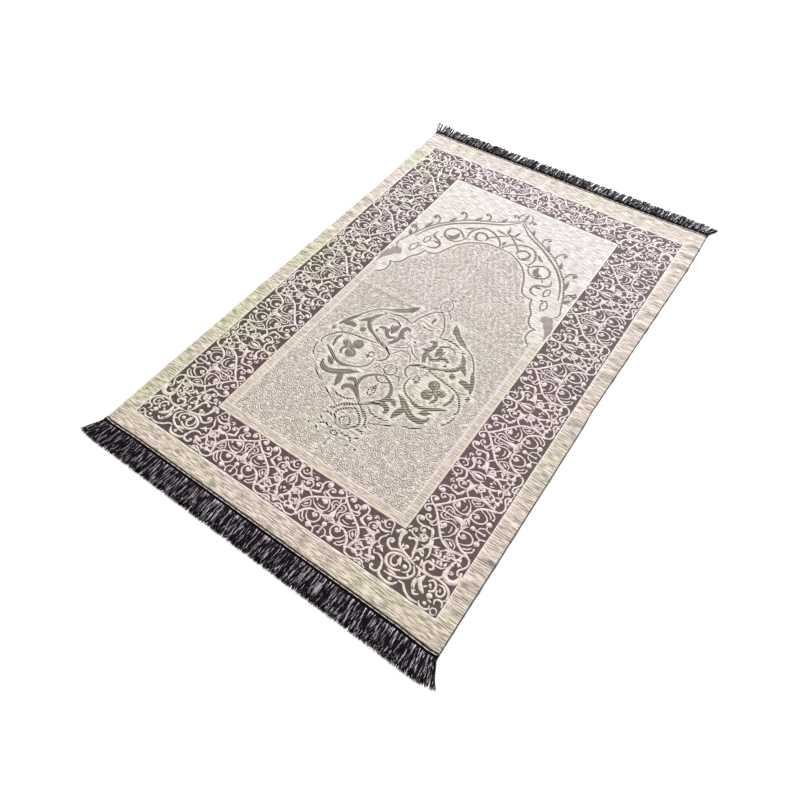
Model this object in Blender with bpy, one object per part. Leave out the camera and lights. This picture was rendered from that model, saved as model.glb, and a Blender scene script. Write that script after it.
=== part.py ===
"""A flat prayer rug: one thin hemmed cloth, and a fringe sewn on at each end.

Metres, +Z up. X runs across the width and +Y along the length, towards the arch of the pattern.
The origin is at the middle of the cloth, on its underside, which lies on the floor at Z = 0.
Each fringe is a narrow header tape, parted from the cloth's end by a hair's gap, and its locks.
"""

import math
import random
from typing import NamedTuple

import bmesh
import bpy

# Driving dimensions
CLOTH_WIDTH = 0.680
CLOTH_LENGTH = 1.024
CLOTH_THICKNESS = 0.0020
SIDE_MARGIN = 0.034  # plain margin outside the patterned band, where the cloth puckers
HEM_DEPTH = 0.014  # turned-under end of the cloth
HEM_RISE = 0.0006  # what the turned-under layer adds
EDGE_ROUND = 0.0020  # the cloth's rim falls off over this width
EDGE_DROP = 0.0008
CREASE_RISE = 0.0006  # fold lines of the packed rug, across and along its middle
CREASE_REACH = 0.012
ROW_PITCH = 0.0125  # spacing of the cloth's rows of faces

SEAM_GAP = 0.0004  # between the cloth and a header tape
TAPE_WIDTH = 0.008
TAPE_THICKNESS = 0.0024
LOCKS_PER_END = 144
LOCK_LENGTH = 0.0360
LOCK_LENGTH_SPREAD = 0.0030
LOCK_FILL = 0.74  # share of the pitch that a lock takes at its root
LOCK_TIP_WIDTH = 0.0023
LOCK_ROOT_THICKNESS = 0.0021
LOCK_TIP_THICKNESS = 0.0013
LOCK_SLOPE = 0.30  # how far a lock's upper face is narrower than its lower one
LOCK_STEPS = 3
LOCK_SWAY = 0.0009  # how far a tip strays sideways
FRINGE_SEED = 11

HALF_WIDTH = CLOTH_WIDTH / 2
HALF_LENGTH = CLOTH_LENGTH / 2


class Pucker(NamedTuple):
    """A soft ridge that runs in from a side edge."""

    side: int  # +1 right, -1 left
    middle: float  # along Y
    half_length: float
    rise: float


PUCKERS = (
    Pucker(+1, 0.468, 0.016, 0.0022),
    Pucker(+1, 0.438, 0.014, 0.0020),
    Pucker(+1, 0.398, 0.020, 0.0024),
    Pucker(+1, 0.300, 0.022, 0.0010),
    Pucker(+1, 0.245, 0.018, 0.0020),
    Pucker(+1, 0.200, 0.020, 0.0026),
    Pucker(+1, 0.110, 0.024, 0.0012),
    Pucker(+1, 0.056, 0.020, 0.0024),
    Pucker(+1, -0.060, 0.026, 0.0018),
    Pucker(+1, -0.185, 0.030, 0.0010),
    Pucker(+1, -0.300, 0.022, 0.0014),
    Pucker(+1, -0.358, 0.020, 0.0020),
    Pucker(+1, -0.405, 0.022, 0.0012),
    Pucker(-1, 0.478, 0.018, 0.0014),
    Pucker(-1, 0.432, 0.020, 0.0016),
    Pucker(-1, 0.300, 0.026, 0.0010),
    Pucker(-1, 0.212, 0.022, 0.0016),
    Pucker(-1, 0.155, 0.020, 0.0012),
    Pucker(-1, 0.080, 0.022, 0.0018),
    Pucker(-1, 0.018, 0.020, 0.0014),
    Pucker(-1, -0.120, 0.030, 0.0008),
    Pucker(-1, -0.280, 0.024, 0.0012),
    Pucker(-1, -0.368, 0.022, 0.0010),
)


class Bend(NamedTuple):
    """A corner of the cloth's outline: how far out its edge stands at one place along it."""

    along: float
    out: float


# Both ends alike, from the middle to a corner.
END_LINE = (Bend(0.0, 0.0), Bend(0.270, 0.0), Bend(0.306, 0.0015), Bend(0.324, 0.0020), Bend(0.340, 0.0004))
# The long edges, from the near end to the far end.
RIGHT_LINE = (
    Bend(-0.512, -0.001),
    Bend(-0.080, -0.002),
    Bend(-0.030, -0.004),
    Bend(0.130, -0.001),
    Bend(0.390, 0.004),
    Bend(0.512, 0.002),
)
LEFT_LINE = (
    Bend(-0.512, 0.001),
    Bend(-0.120, 0.001),
    Bend(0.300, -0.001),
    Bend(0.430, 0.004),
    Bend(0.512, 0.004),
)


class FringeEnd(NamedTuple):
    """How one fringe lies. Angles are from straight out, positive towards +X."""

    name: str
    outward: int  # -1 near end, +1 far end
    lean: float  # middle of the fringe
    left_fan: float  # outermost lock at the left
    left_reach: float  # the fan dies away over about this distance
    right_fan: float
    right_reach: float
    tuft_length: float  # added to the outermost locks at the left


FRINGES = (
    FringeEnd("fringe_near", -1, math.radians(-2), math.radians(-25), 0.050, math.radians(20), 0.040, 0.000),
    FringeEnd("fringe_far", +1, math.radians(6), math.radians(-34), 0.016, math.radians(34), 0.035, 0.018),
)


class Yarn(NamedTuple):
    """A material: its name, colour and roughness."""

    name: str
    color: tuple[float, float, float]
    roughness: float


CREAM_CLOTH = Yarn("cream_cloth", (0.62, 0.57, 0.48), 0.85)
DARK_YARN = Yarn("dark_yarn", (0.035, 0.026, 0.034), 0.60)


def smooth(share):
    """A smooth step from 0 to 1."""
    share = min(1.0, max(0.0, share))
    return share * share * (3 - 2 * share)


def bump(distance, reach):
    """A smooth ridge of height 1 at distance 0, gone at reach."""
    return 1 - smooth(abs(distance) / reach)


def out_at(line, along):
    """How far out an edge stands, straight between its bends."""
    for first, second in zip(line, line[1:]):
        if along <= second.along:
            share = (along - first.along) / (second.along - first.along)
            return first.out + share * (second.out - first.out)
    return line[-1].out


def outline(across, along):
    """X and Y of this place in the cloth, once its edges are moved to the rug's true outline."""
    line = RIGHT_LINE if across > 0 else LEFT_LINE
    side_share = max(0.0, (abs(across) - (HALF_WIDTH - SIDE_MARGIN)) / SIDE_MARGIN)
    end_share = max(0.0, (abs(along) - (HALF_LENGTH - HEM_DEPTH)) / HEM_DEPTH)
    x = across + math.copysign(side_share, across) * out_at(line, along)
    y = along + math.copysign(end_share, along) * out_at(END_LINE, abs(across))
    return x, y


def seam(across, outward, away):
    """X and Y of a point this far out from the cloth's end."""
    x, y = outline(across, outward * HALF_LENGTH)
    return x, y + outward * away


def pucker_rise(across, along):
    """How far the margin's puckers lift the cloth off the floor."""
    into_margin = (abs(across) - (HALF_WIDTH - SIDE_MARGIN)) / SIDE_MARGIN
    if into_margin <= 0:
        return 0.0
    side = math.copysign(1, across)
    raised = sum(
        pucker.rise * bump(along - pucker.middle, pucker.half_length) for pucker in PUCKERS if pucker.side == side
    )
    return raised * smooth(1.6 * into_margin)


def depth_of_cloth(across, along):
    """Thickness of the cloth: its hems and creases stand up, and its rim falls off."""
    from_side = HALF_WIDTH - abs(across)
    from_end = HALF_LENGTH - abs(along)
    hem = HEM_RISE * smooth((HEM_DEPTH - from_end) / EDGE_ROUND)
    crease = CREASE_RISE * max(bump(across, CREASE_REACH), bump(along, CREASE_REACH))
    rim = EDGE_DROP * (1 - smooth(min(from_side, from_end) / EDGE_ROUND))
    return CLOTH_THICKNESS + hem + crease - rim


def mirrored(stations):
    """The same stations on both sides of 0."""
    return sorted({-place for place in stations} | set(stations))


def cloth_columns():
    """X of the cloth's lines of points: close in the margins, wide between them."""
    inner = HALF_WIDTH - SIDE_MARGIN
    bends = [bend.along for bend in END_LINE[1:]]
    return mirrored([0.0, CREASE_REACH, inner + 0.45 * SIDE_MARGIN, HALF_WIDTH - EDGE_ROUND, *bends])


def cloth_rows():
    """Y of the cloth's lines of points."""
    hem_line = HALF_LENGTH - HEM_DEPTH
    count = round(hem_line / ROW_PITCH)
    even = [row * hem_line / count for row in range(count + 1)]
    return mirrored([*even, hem_line + EDGE_ROUND, HALF_LENGTH - EDGE_ROUND, HALF_LENGTH])


def finish(mesh, name, yarn):
    """Make an object of this mesh, facing out, in its own material."""
    bmesh.ops.recalc_face_normals(mesh, faces=mesh.faces[:])
    data = bpy.data.meshes.new(name)
    mesh.to_mesh(data)
    mesh.free()
    data.shade_smooth()
    data.set_sharp_from_angle(angle=math.radians(35))
    material = bpy.data.materials.new(yarn.name)
    material.use_nodes = True
    shader = material.node_tree.nodes["Principled BSDF"]
    shader.inputs["Base Color"].default_value = (*yarn.color, 1.0)
    shader.inputs["Roughness"].default_value = yarn.roughness
    shader.inputs["Metallic"].default_value = 0.0
    data.materials.append(material)
    piece = bpy.data.objects.new(name, data)
    bpy.context.scene.collection.objects.link(piece)
    return piece


def slab(columns, rows, place_below, rise):
    """A closed slab of faces on these lines: its lower points by place_below, its upper ones raised by rise."""
    mesh = bmesh.new()
    bmesh.ops.create_grid(mesh, x_segments=len(columns) - 1, y_segments=len(rows) - 1, size=1.0)
    lines = {}
    for vertex in mesh.verts:
        across = columns[round((vertex.co.x + 1) / 2 * (len(columns) - 1))]
        along = rows[round((vertex.co.y + 1) / 2 * (len(rows) - 1))]
        vertex.co = place_below(across, along)
        lines[tuple(vertex.co)] = (across, along)
    raised = bmesh.ops.extrude_face_region(mesh, geom=mesh.faces[:], use_keep_orig=True)
    for element in raised["geom"]:
        if isinstance(element, bmesh.types.BMVert):
            element.co.z += rise(*lines[tuple(element.co)])
    return mesh


def underside(across, along):
    """The point of the cloth's underside on these lines."""
    return *outline(across, along), pucker_rise(across, along)


def build_cloth():
    """The woven cloth, as one closed sheet that lifts off the floor only at its puckers."""
    mesh = slab(cloth_columns(), cloth_rows(), underside, depth_of_cloth)
    return finish(mesh, "rug_cloth", CREAM_CLOTH)


class Lock:
    """One lock of a fringe, as the rings of points that it is extruded through."""

    def __init__(self, end, root_left, root_right, draw):
        middle = (root_left + root_right) / 2
        self.end = end
        self.root_width = root_right - root_left
        self.root, self.start = seam(middle, end.outward, SEAM_GAP + TAPE_WIDTH)
        left_share = math.exp(-(HALF_WIDTH + middle) / end.left_reach)
        right_share = math.exp(-(HALF_WIDTH - middle) / end.right_reach)
        self.lean = end.lean + (end.left_fan - end.lean) * left_share + (end.right_fan - end.lean) * right_share
        self.length = LOCK_LENGTH + draw.uniform(-1, 1) * LOCK_LENGTH_SPREAD + end.tuft_length * left_share
        self.sway = draw.uniform(-1, 1) * LOCK_SWAY
        self.wave = draw.uniform(0, 2 * math.pi)

    def ring(self, share):
        """Four points around the lock, this share of the way to its tip."""
        reach = share * self.length
        across = self.root + reach * math.sin(self.lean) + self.sway * share * math.sin(self.wave + 3 * share)
        along = self.start + self.end.outward * reach * math.cos(self.lean)
        half = (self.root_width + share * (LOCK_TIP_WIDTH - self.root_width)) / 2
        top = LOCK_ROOT_THICKNESS + share * (LOCK_TIP_THICKNESS - LOCK_ROOT_THICKNESS)
        upper = half * (1 - LOCK_SLOPE)
        return {
            (-1, 0): (across - half, along, 0.0),
            (+1, 0): (across + half, along, 0.0),
            (-1, 1): (across - upper, along, top),
            (+1, 1): (across + upper, along, top),
        }


def left_to_right(faces):
    """These faces in order of X."""
    return sorted(faces, key=lambda face: face.calc_center_median().x)


def tape_slab(end, edges):
    """The header tape, cut across at each of these places along it, and its outer faces from left to right."""

    def below(across, share):
        return *seam(across, end.outward, SEAM_GAP + share * TAPE_WIDTH), 0.0

    mesh = slab(edges, [0.0, 1.0], below, lambda across, share: TAPE_THICKNESS)
    bmesh.ops.recalc_face_normals(mesh, faces=mesh.faces[:])
    outer = [face for face in mesh.faces if face.normal.y * end.outward > 0.7]
    return mesh, left_to_right(outer)


def build_fringe(end, draw):
    """A header tape and its locks, grown out of its outer wall and resting on the floor."""
    pitch = CLOTH_WIDTH / LOCKS_PER_END
    half_root = LOCK_FILL * pitch / 2
    middles = [-HALF_WIDTH + (index + 0.5) * pitch for index in range(LOCKS_PER_END)]
    edges = [-HALF_WIDTH, *(middle + side * half_root for middle in middles for side in (-1, 1)), HALF_WIDTH]
    locks = [Lock(end, middle - half_root, middle + half_root, draw) for middle in middles]

    mesh, walls = tape_slab(end, edges)
    roots = walls[1::2]
    for step in range(1, LOCK_STEPS + 1):
        grown = bmesh.ops.extrude_discrete_faces(mesh, faces=roots)
        roots = left_to_right(grown["faces"])
        for lock, root in zip(locks, roots):
            ring = lock.ring(step / LOCK_STEPS)
            middle = root.calc_center_median()
            for vertex in root.verts:
                corner = (1 if vertex.co.x > middle.x else -1, 1 if vertex.co.z > middle.z else 0)
                vertex.co = ring[corner]
    return finish(mesh, end.name, DARK_YARN)


def main():
    """Clear the scene and build the rug's three pieces."""
    for existing in list(bpy.data.objects):
        bpy.data.objects.remove(existing, do_unlink=True)
    build_cloth()
    draw = random.Random(FRINGE_SEED)
    for end in FRINGES:
        build_fringe(end, draw)


main()
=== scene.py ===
"""A thin woven prayer rug lying open: the cloth, its raised pattern, its hems and its two fringes.

The rug lies in its own frame: X across, +Y towards the arch, +Z up, with the origin on the flat
underside, in the middle of the cloth. Lengths are metres. The places in the pattern's tables are
millimetres, because the pattern was charted on a millimetre grid, and MM turns them into metres.
"""

from __future__ import annotations

import logging
import math
import random
from collections.abc import Callable, Iterable
from dataclasses import dataclass
from enum import Enum

import bpy
import numpy as np
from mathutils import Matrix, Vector


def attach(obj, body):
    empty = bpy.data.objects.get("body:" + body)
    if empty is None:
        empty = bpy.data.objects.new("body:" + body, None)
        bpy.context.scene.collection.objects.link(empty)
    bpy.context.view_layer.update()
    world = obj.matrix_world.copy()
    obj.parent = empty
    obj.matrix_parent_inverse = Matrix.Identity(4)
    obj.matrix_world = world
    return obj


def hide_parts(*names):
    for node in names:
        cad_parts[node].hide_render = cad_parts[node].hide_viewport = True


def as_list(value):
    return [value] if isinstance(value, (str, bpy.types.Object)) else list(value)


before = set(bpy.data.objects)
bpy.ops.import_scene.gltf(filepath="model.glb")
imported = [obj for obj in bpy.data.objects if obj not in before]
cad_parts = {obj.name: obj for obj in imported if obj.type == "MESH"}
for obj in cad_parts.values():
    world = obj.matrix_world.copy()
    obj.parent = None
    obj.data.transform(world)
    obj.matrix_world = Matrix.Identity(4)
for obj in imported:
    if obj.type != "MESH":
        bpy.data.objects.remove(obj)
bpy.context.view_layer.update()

LOG = logging.getLogger("prayer_rug")
MM = 0.001

Place = tuple[float, float]
Spot = tuple[float, float, float]
Colour = tuple[float, float, float]


# Small maths


def eased(share: np.ndarray) -> np.ndarray:
    """Returns 0 to 1 with a soft start and a soft end."""
    share = np.clip(share, 0.0, 1.0)
    return share * share * (3.0 - 2.0 * share)


def hump(offset: np.ndarray, reach: float) -> np.ndarray:
    """Returns 1 at offset 0, falling softly to 0 at the reach."""
    return 1.0 - eased(np.abs(offset) / reach)


def stretch(offset: np.ndarray, start: float, end: float, rise: float, fall: float) -> np.ndarray:
    """Returns 1 between the start and the end, with a soft rise and a soft fall just inside them."""
    return eased((offset - start) / rise) * eased((end - offset) / fall)


def smooth_path(places: Iterable[Place], step: float) -> np.ndarray:
    """Runs a smooth line through a few places.

    Args:
        places: the places that the line passes through.
        step: the wanted distance between the points of the result, in the places' own unit.

    Returns:
        The points of the line, one row each.
    """
    knots = np.array(list(places), float)
    before = 2 * knots[0] - knots[1]
    after = 2 * knots[-1] - knots[-2]
    knots = np.vstack([before, knots, after])
    points = [knots[1]]
    for a, b, c, d in zip(knots, knots[1:], knots[2:], knots[3:]):
        count = max(1, math.ceil(np.linalg.norm(c - b) / step))
        for share in np.arange(1, count + 1) / count:
            linear = (c - a) * share
            square = (2 * a - 5 * b + 4 * c - d) * share**2
            cubic = (3 * b - a - 3 * c + d) * share**3
            points.append(b + 0.5 * (linear + square + cubic))
    return np.array(points)


def distances(points: np.ndarray) -> np.ndarray:
    """Returns how far along a line each of its points lies."""
    return np.concatenate([[0], np.cumsum(np.linalg.norm(np.diff(points, axis=0), axis=1))])


# Shaders


class Value:
    """A shader socket that Python's arithmetic can use."""

    def __init__(self, graph: Graph, socket: bpy.types.NodeSocket) -> None:
        """Wraps one socket of the graph."""
        self.graph = graph
        self.socket = socket

    def maths(self, operation: str, *others: Value | float) -> Value:
        """Adds one Math node.

        Args:
            operation: the node's operation.
            others: what goes into its second and third sockets.

        Returns:
            The node's result.
        """
        node = self.graph.node("ShaderNodeMath", {"operation": operation}, {0: self})
        for index, other in enumerate(others, start=1):
            self.graph.feed(node.inputs[index], other)
        return Value(self.graph, node.outputs[0])

    def __add__(self, other: Value | float) -> Value:
        """Returns the sum."""
        return self.maths("ADD", other)

    __radd__ = __add__

    def __sub__(self, other: Value | float) -> Value:
        """Returns the difference."""
        return self.maths("SUBTRACT", other)

    def __rsub__(self, other: float) -> Value:
        """Returns the difference the other way round."""
        return self * -1.0 + other

    def __mul__(self, other: Value | float) -> Value:
        """Returns the product."""
        return self.maths("MULTIPLY", other)

    __rmul__ = __mul__

    def size(self) -> Value:
        """Returns the value without its sign."""
        return self.maths("ABSOLUTE")

    def wave(self, pitch: float) -> Value:
        """Returns a wave from 0 to 1 that repeats at the pitch."""
        return (self * (2 * math.pi / pitch)).maths("SINE") * 0.5 + 0.5

    def at_least(self, other: Value | float) -> Value:
        """Returns the larger of the two."""
        return self.maths("MAXIMUM", other)

    def above(self, edge: float, blur: float) -> Value:
        """Returns 0 well below the edge, 1 well above it, and a soft step over the blur."""
        settings = {"interpolation_type": "SMOOTHSTEP"}
        inputs = {"Value": self, "From Min": edge - blur / 2, "From Max": edge + blur / 2}
        return Value(self.graph, self.graph.node("ShaderNodeMapRange", settings, inputs).outputs[0])

    def below(self, edge: float, blur: float) -> Value:
        """Returns 1 well below the edge and 0 well above it."""
        return 1 - self.above(edge, blur)

    def near(self, middle: float, width: float, blur: float) -> Value:
        """Returns 1 within half the width of the middle, 0 away from it."""
        return (self - middle).size().below(width / 2, blur)


# A place on the rug as two values: across it and along it
Crossing = tuple[Value, Value]


class Mixing(Enum):
    """How one colour is laid over another."""

    COVER = "MIX"
    MULTIPLY = "MULTIPLY"


class Graph:
    """The nodes of one material."""

    def __init__(self, name: str) -> None:
        """Makes an empty material of this name."""
        self.material = bpy.data.materials.new(name)
        self.material.use_nodes = True
        self.tree = self.material.node_tree
        self.tree.nodes.clear()
        self.position = self.node("ShaderNodeTexCoord").outputs["Object"]

    def feed(self, socket: bpy.types.NodeSocket, given: object) -> None:
        """Links a value or a socket to a node's input, or sets a plain number or colour there."""
        if isinstance(given, Value):
            given = given.socket
        if isinstance(given, bpy.types.NodeSocket):
            self.tree.links.new(given, socket)
        else:
            socket.default_value = given

    def node(self, kind: str, settings: dict | None = None, inputs: dict | None = None) -> bpy.types.Node:
        """Adds one node.

        Args:
            kind: the node's type.
            settings: its own settings, which are set first.
            inputs: what goes into its sockets, by their names or numbers.

        Returns:
            The node.
        """
        node = self.tree.nodes.new(kind)
        for key, setting in (settings or {}).items():
            setattr(node, key, setting)
        for key, given in (inputs or {}).items():
            self.feed(node.inputs[key], given)
        return node

    def across_along(self) -> Crossing:
        """Returns the place on the rug as two values: X across it and Y along it."""
        parts = self.node("ShaderNodeSeparateXYZ", None, {0: self.position})
        return Value(self, parts.outputs[0]), Value(self, parts.outputs[1])

    def noise(self, scale: Spot, detail: float, shift: float) -> Value:
        """Returns a soft noise from 0 to 1.

        Args:
            scale: how many swings there are in a metre along X, Y and Z.
            detail: the octaves of the noise.
            shift: a move of the noise, so that two of them differ.

        Returns:
            The noise.
        """
        moved = {"Vector": self.position, "Scale": scale, "Location": (shift, shift, shift)}
        mapping = self.node("ShaderNodeMapping", None, moved)
        inputs = {"Vector": mapping.outputs[0], "Scale": 1.0, "Detail": detail}
        return Value(self, self.node("ShaderNodeTexNoise", None, inputs).outputs[0])

    def blend(
        self, share: Value | float, first: object, second: object, mixing: Mixing = Mixing.COVER
    ) -> bpy.types.NodeSocket:
        """Lays one colour over another.

        Args:
            share: 0 for the first colour alone, 1 for the second laid fully over it.
            first: a colour or a colour socket.
            second: a colour or a colour socket.
            mixing: how the second colour is laid.

        Returns:
            The mixed colour's socket.
        """
        first, second = ((*given, 1.0) if isinstance(given, tuple) else given for given in (first, second))
        settings = {"data_type": "RGBA", "blend_type": mixing.value}
        return self.node("ShaderNodeMix", settings, {0: share, 6: first, 7: second}).outputs[2]

    def shade(self, colour: object, share: Value, low: float, high: float) -> bpy.types.NodeSocket:
        """Darkens or lightens a colour.

        Args:
            colour: a colour or a colour socket.
            share: the value that decides, from 0 to 1.
            low: what the colour is multiplied by where the share is 0.
            high: what it is multiplied by where the share is 1.

        Returns:
            The new colour's socket.
        """
        grey = self.blend(share, (low, low, low), (high, high, high))
        return self.blend(1.0, colour, grey, Mixing.MULTIPLY)

    def finish(
        self, colour: object, roughness: Value, height: Value, depth: float, sheen: float, gloss: float
    ) -> None:
        """Ends the material with a cloth-like surface.

        Args:
            colour: the base colour.
            roughness: the roughness.
            height: the fine relief, from 0 to 1.
            depth: what a height of 1 stands for, in metres.
            sheen: the weight of the fibres' sheen.
            gloss: the strength of the plain reflection.
        """
        bump = self.node("ShaderNodeBump", None, {"Height": height, "Distance": depth, "Strength": 1.0})
        fixed = {"Sheen Weight": sheen, "Sheen Roughness": 0.45, "Specular IOR Level": gloss}
        changing = {"Base Color": colour, "Roughness": roughness, "Normal": bump.outputs[0]}
        surface = self.node("ShaderNodeBsdfPrincipled", None, {**fixed, **changing})
        self.node("ShaderNodeOutputMaterial", None, {"Surface": surface.outputs[0]})


# The cloth's form


@dataclass(frozen=True)
class Pucker:
    """One soft wave of a side margin: its side, its middle, half its length and its height."""

    side: int
    middle: float
    half_length: float
    rise: float


@dataclass(frozen=True)
class Rectangle:
    """An outline in the pattern: half its width, and where its near and its far end lie."""

    side: float
    near: float
    far: float

    def end(self, outward: int) -> float:
        """Returns where the near (-1) or the far (+1) end lies."""
        return self.far if outward > 0 else self.near

    def grown(self, by: float) -> Rectangle:
        """Returns the outline that runs this far outside it."""
        return Rectangle(self.side + by, self.near - by, self.far + by)


@dataclass(frozen=True)
class Zones:
    """Where the woven pattern changes, in metres from the middle of the rug.

    The dark band lies between the outer and the inner outline. The plain guard stripe runs inside it,
    along the field's near end and up its sides as far as the guard's end. The medallion is an ellipse,
    and the ground under the arch is bounded by two upright sides that curve inwards from the spring.
    """

    outer: Rectangle = Rectangle(0.3082, -0.4761, 0.4628)
    inner: Rectangle = Rectangle(0.1979, -0.3892, 0.3870)
    guard_width: float = 0.0165
    guard_end: float = 0.045
    open_end: float = 0.02
    medallion_middle: float = -0.128
    medallion_half: Place = (0.150, 0.132)
    arch_half: float = 0.184
    arch_spring: float = 0.13
    arch_curve: float = 4.474

    @property
    def filled(self) -> Rectangle:
        """Returns the outline of the ground inside the guard stripe, which has no far end of its own."""
        side, near = self.inner.side - self.guard_width, self.inner.near + self.guard_width
        return Rectangle(side, near, self.inner.far + self.open_end)


@dataclass(frozen=True)
class RugForm:
    """The cut, outline, puckers and thickness of the cloth, which every other piece follows."""

    width: float = 0.680
    length: float = 1.024
    thickness: float = 0.0020
    side_margin: float = 0.034
    hem_depth: float = 0.014
    hem_rise: float = 0.0006
    edge_round: float = 0.0020
    edge_drop: float = 0.0008
    crease_rise: float = 0.0006
    crease_reach: float = 0.012
    margin_climb: float = 1.6
    edge_calm: float = 0.5
    calm_climb: float = 2.2
    fold_line: float = -0.003
    fold_reach: float = 0.007
    fold_rise: float = 0.0005
    fold_faintest: float = 0.25
    fold_sharp: tuple[float, float, float, float] = (-0.30, 0.06, 0.06, 0.16)
    lengthways_fold: float = 0.010
    lengthways_sharp: tuple[float, float, float, float] = (0.05, 0.25, 0.03, 0.03)
    lengthways_share: float = 0.5
    puckers: tuple[Pucker, ...] = (
        Pucker(+1, 0.468, 0.016, 0.0022),
        Pucker(+1, 0.438, 0.014, 0.0020),
        Pucker(+1, 0.398, 0.020, 0.0024),
        Pucker(+1, 0.300, 0.022, 0.0010),
        Pucker(+1, 0.245, 0.018, 0.0020),
        Pucker(+1, 0.200, 0.020, 0.0026),
        Pucker(+1, 0.110, 0.024, 0.0012),
        Pucker(+1, 0.056, 0.020, 0.0024),
        Pucker(+1, -0.060, 0.026, 0.0018),
        Pucker(+1, -0.185, 0.030, 0.0010),
        Pucker(+1, -0.300, 0.022, 0.0014),
        Pucker(+1, -0.358, 0.020, 0.0020),
        Pucker(+1, -0.405, 0.022, 0.0012),
        Pucker(-1, 0.478, 0.018, 0.0014),
        Pucker(-1, 0.432, 0.020, 0.0016),
        Pucker(-1, 0.300, 0.026, 0.0010),
        Pucker(-1, 0.212, 0.022, 0.0016),
        Pucker(-1, 0.155, 0.020, 0.0012),
        Pucker(-1, 0.080, 0.022, 0.0018),
        Pucker(-1, 0.018, 0.020, 0.0014),
        Pucker(-1, -0.120, 0.030, 0.0008),
        Pucker(-1, -0.280, 0.024, 0.0012),
        Pucker(-1, -0.368, 0.022, 0.0010),
    )
    pucker_share: float = 1.9
    pucker_reach: float = 0.85
    pucker_peak: float = 1.4
    ripple_seed: int = 5
    ripple_span: float = 0.49
    ripple_pitch: float = 0.017
    ripple_steps: Place = (0.7, 1.5)
    ripple_lengths: Place = (0.0065, 0.0105)
    ripple_rise: float = 0.0017
    ripple_rises: Place = (0.3, 1.0)
    end_line: tuple[Place, ...] = (
        (0.0, 0.0),
        (0.270, 0.0),
        (0.306, 0.0015),
        (0.324, 0.0020),
        (0.340, 0.0004),
    )
    right_line: tuple[Place, ...] = (
        (-0.512, -0.001),
        (-0.080, -0.002),
        (-0.030, -0.004),
        (0.130, -0.001),
        (0.390, 0.004),
        (0.512, 0.002),
    )
    left_line: tuple[Place, ...] = (
        (-0.512, 0.001),
        (-0.120, 0.001),
        (0.300, -0.001),
        (0.430, 0.004),
        (0.512, 0.004),
    )

    @property
    def half_width(self) -> float:
        """Returns half the cloth's width."""
        return self.width / 2

    @property
    def half_length(self) -> float:
        """Returns half the cloth's length."""
        return self.length / 2

    @staticmethod
    def out_at(line: tuple[Place, ...], along: np.ndarray) -> np.ndarray:
        """Returns how far an edge stands out at each place along it."""
        places = np.array(line)
        return np.interp(along, places[:, 0], places[:, 1])

    def outline(self, across: np.ndarray, along: np.ndarray) -> tuple[np.ndarray, np.ndarray]:
        """Moves places of the flat cut to where the edges of the real cloth run.

        Args:
            across: the places across the cut.
            along: the places along the cut.

        Returns:
            The X and the Y of those places.
        """
        side = self.into_margin(across)
        end = np.maximum(0, (np.abs(along) - (self.half_length - self.hem_depth)) / self.hem_depth)
        right = self.out_at(self.right_line, along)
        left = self.out_at(self.left_line, along)
        x = across + np.sign(across) * side * np.where(across > 0, right, left)
        y = along + np.sign(along) * end * self.out_at(self.end_line, np.abs(across))
        return x, y

    def seam(self, across: np.ndarray, outward: int, away: float) -> tuple[np.ndarray, np.ndarray]:
        """Returns the X and Y of a line that runs beside the hem of one end, this far outside it."""
        x, y = self.outline(across, np.full_like(across, outward * self.half_length))
        return x, y + outward * away

    def ripples(self) -> list[Pucker]:
        """Returns the small ripples between the puckers, uneven in place, length and height."""
        rng = random.Random(self.ripple_seed)
        rows = []
        for side in (-1, 1):
            middle = -self.ripple_span
            while middle < self.ripple_span:
                rise = self.ripple_rise * rng.uniform(*self.ripple_rises)
                rows.append(Pucker(side, middle, rng.uniform(*self.ripple_lengths), rise))
                middle += self.ripple_pitch * rng.uniform(*self.ripple_steps)
        return rows

    def into_margin(self, across: np.ndarray) -> np.ndarray:
        """Returns 0 on the inside of the side margins, growing to 1 at the cloth's side edges."""
        return np.maximum(0, (np.abs(across) - (self.half_width - self.side_margin)) / self.side_margin)

    def lift(self, across: np.ndarray, along: np.ndarray) -> np.ndarray:
        """Returns how far the puckers lift the cloth off the floor."""
        outward = self.into_margin(across)
        total = np.zeros_like(across)
        for pucker in self.puckers:
            on_side = np.sign(across) == pucker.side
            wave = hump(along - pucker.middle, self.pucker_reach * pucker.half_length) ** self.pucker_peak
            total += np.where(on_side, self.pucker_share * pucker.rise * wave, 0)
        for ripple in self.ripples():
            on_side = np.sign(across) == ripple.side
            total += np.where(on_side, ripple.rise * hump(along - ripple.middle, ripple.half_length), 0)
        rise = eased(self.margin_climb * outward)
        return total * rise * (1 - self.edge_calm * eased(self.calm_climb * (outward - 0.5)))

    def sharp_crease(self, across: np.ndarray, along: np.ndarray) -> np.ndarray:
        """Returns where the cloth was folded: a line across it, sharpest at the left, and one along it."""
        sharp = self.fold_faintest + (1 - self.fold_faintest) * stretch(across, *self.fold_sharp)
        fold = hump(along - self.fold_line, self.fold_reach) * sharp
        middle = hump(across - self.lengthways_fold, self.fold_reach) * stretch(along, *self.lengthways_sharp)
        return np.maximum(fold, self.lengthways_share * middle)

    def depth(self, across: np.ndarray, along: np.ndarray) -> np.ndarray:
        """Returns the thickness of the cloth, with its hems, its fold lines and its rounded edges."""
        from_end = self.half_length - np.abs(along)
        from_side = self.half_width - np.abs(across)
        hem = self.hem_rise * eased((self.hem_depth - from_end) / self.edge_round)
        crease = np.maximum(hump(across, self.crease_reach), hump(along, self.crease_reach))
        edge = 1 - eased(np.minimum(from_side, from_end) / self.edge_round)
        crease = crease + self.sharp_crease(across, along) * self.fold_rise / self.crease_rise
        return self.thickness + hem + self.crease_rise * crease - self.edge_drop * edge

    def top(self, across: np.ndarray, along: np.ndarray) -> np.ndarray:
        """Returns the height of the cloth's face."""
        return self.lift(across, along) + self.depth(across, along)


# The pattern's motifs, charted in millimetres


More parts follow.
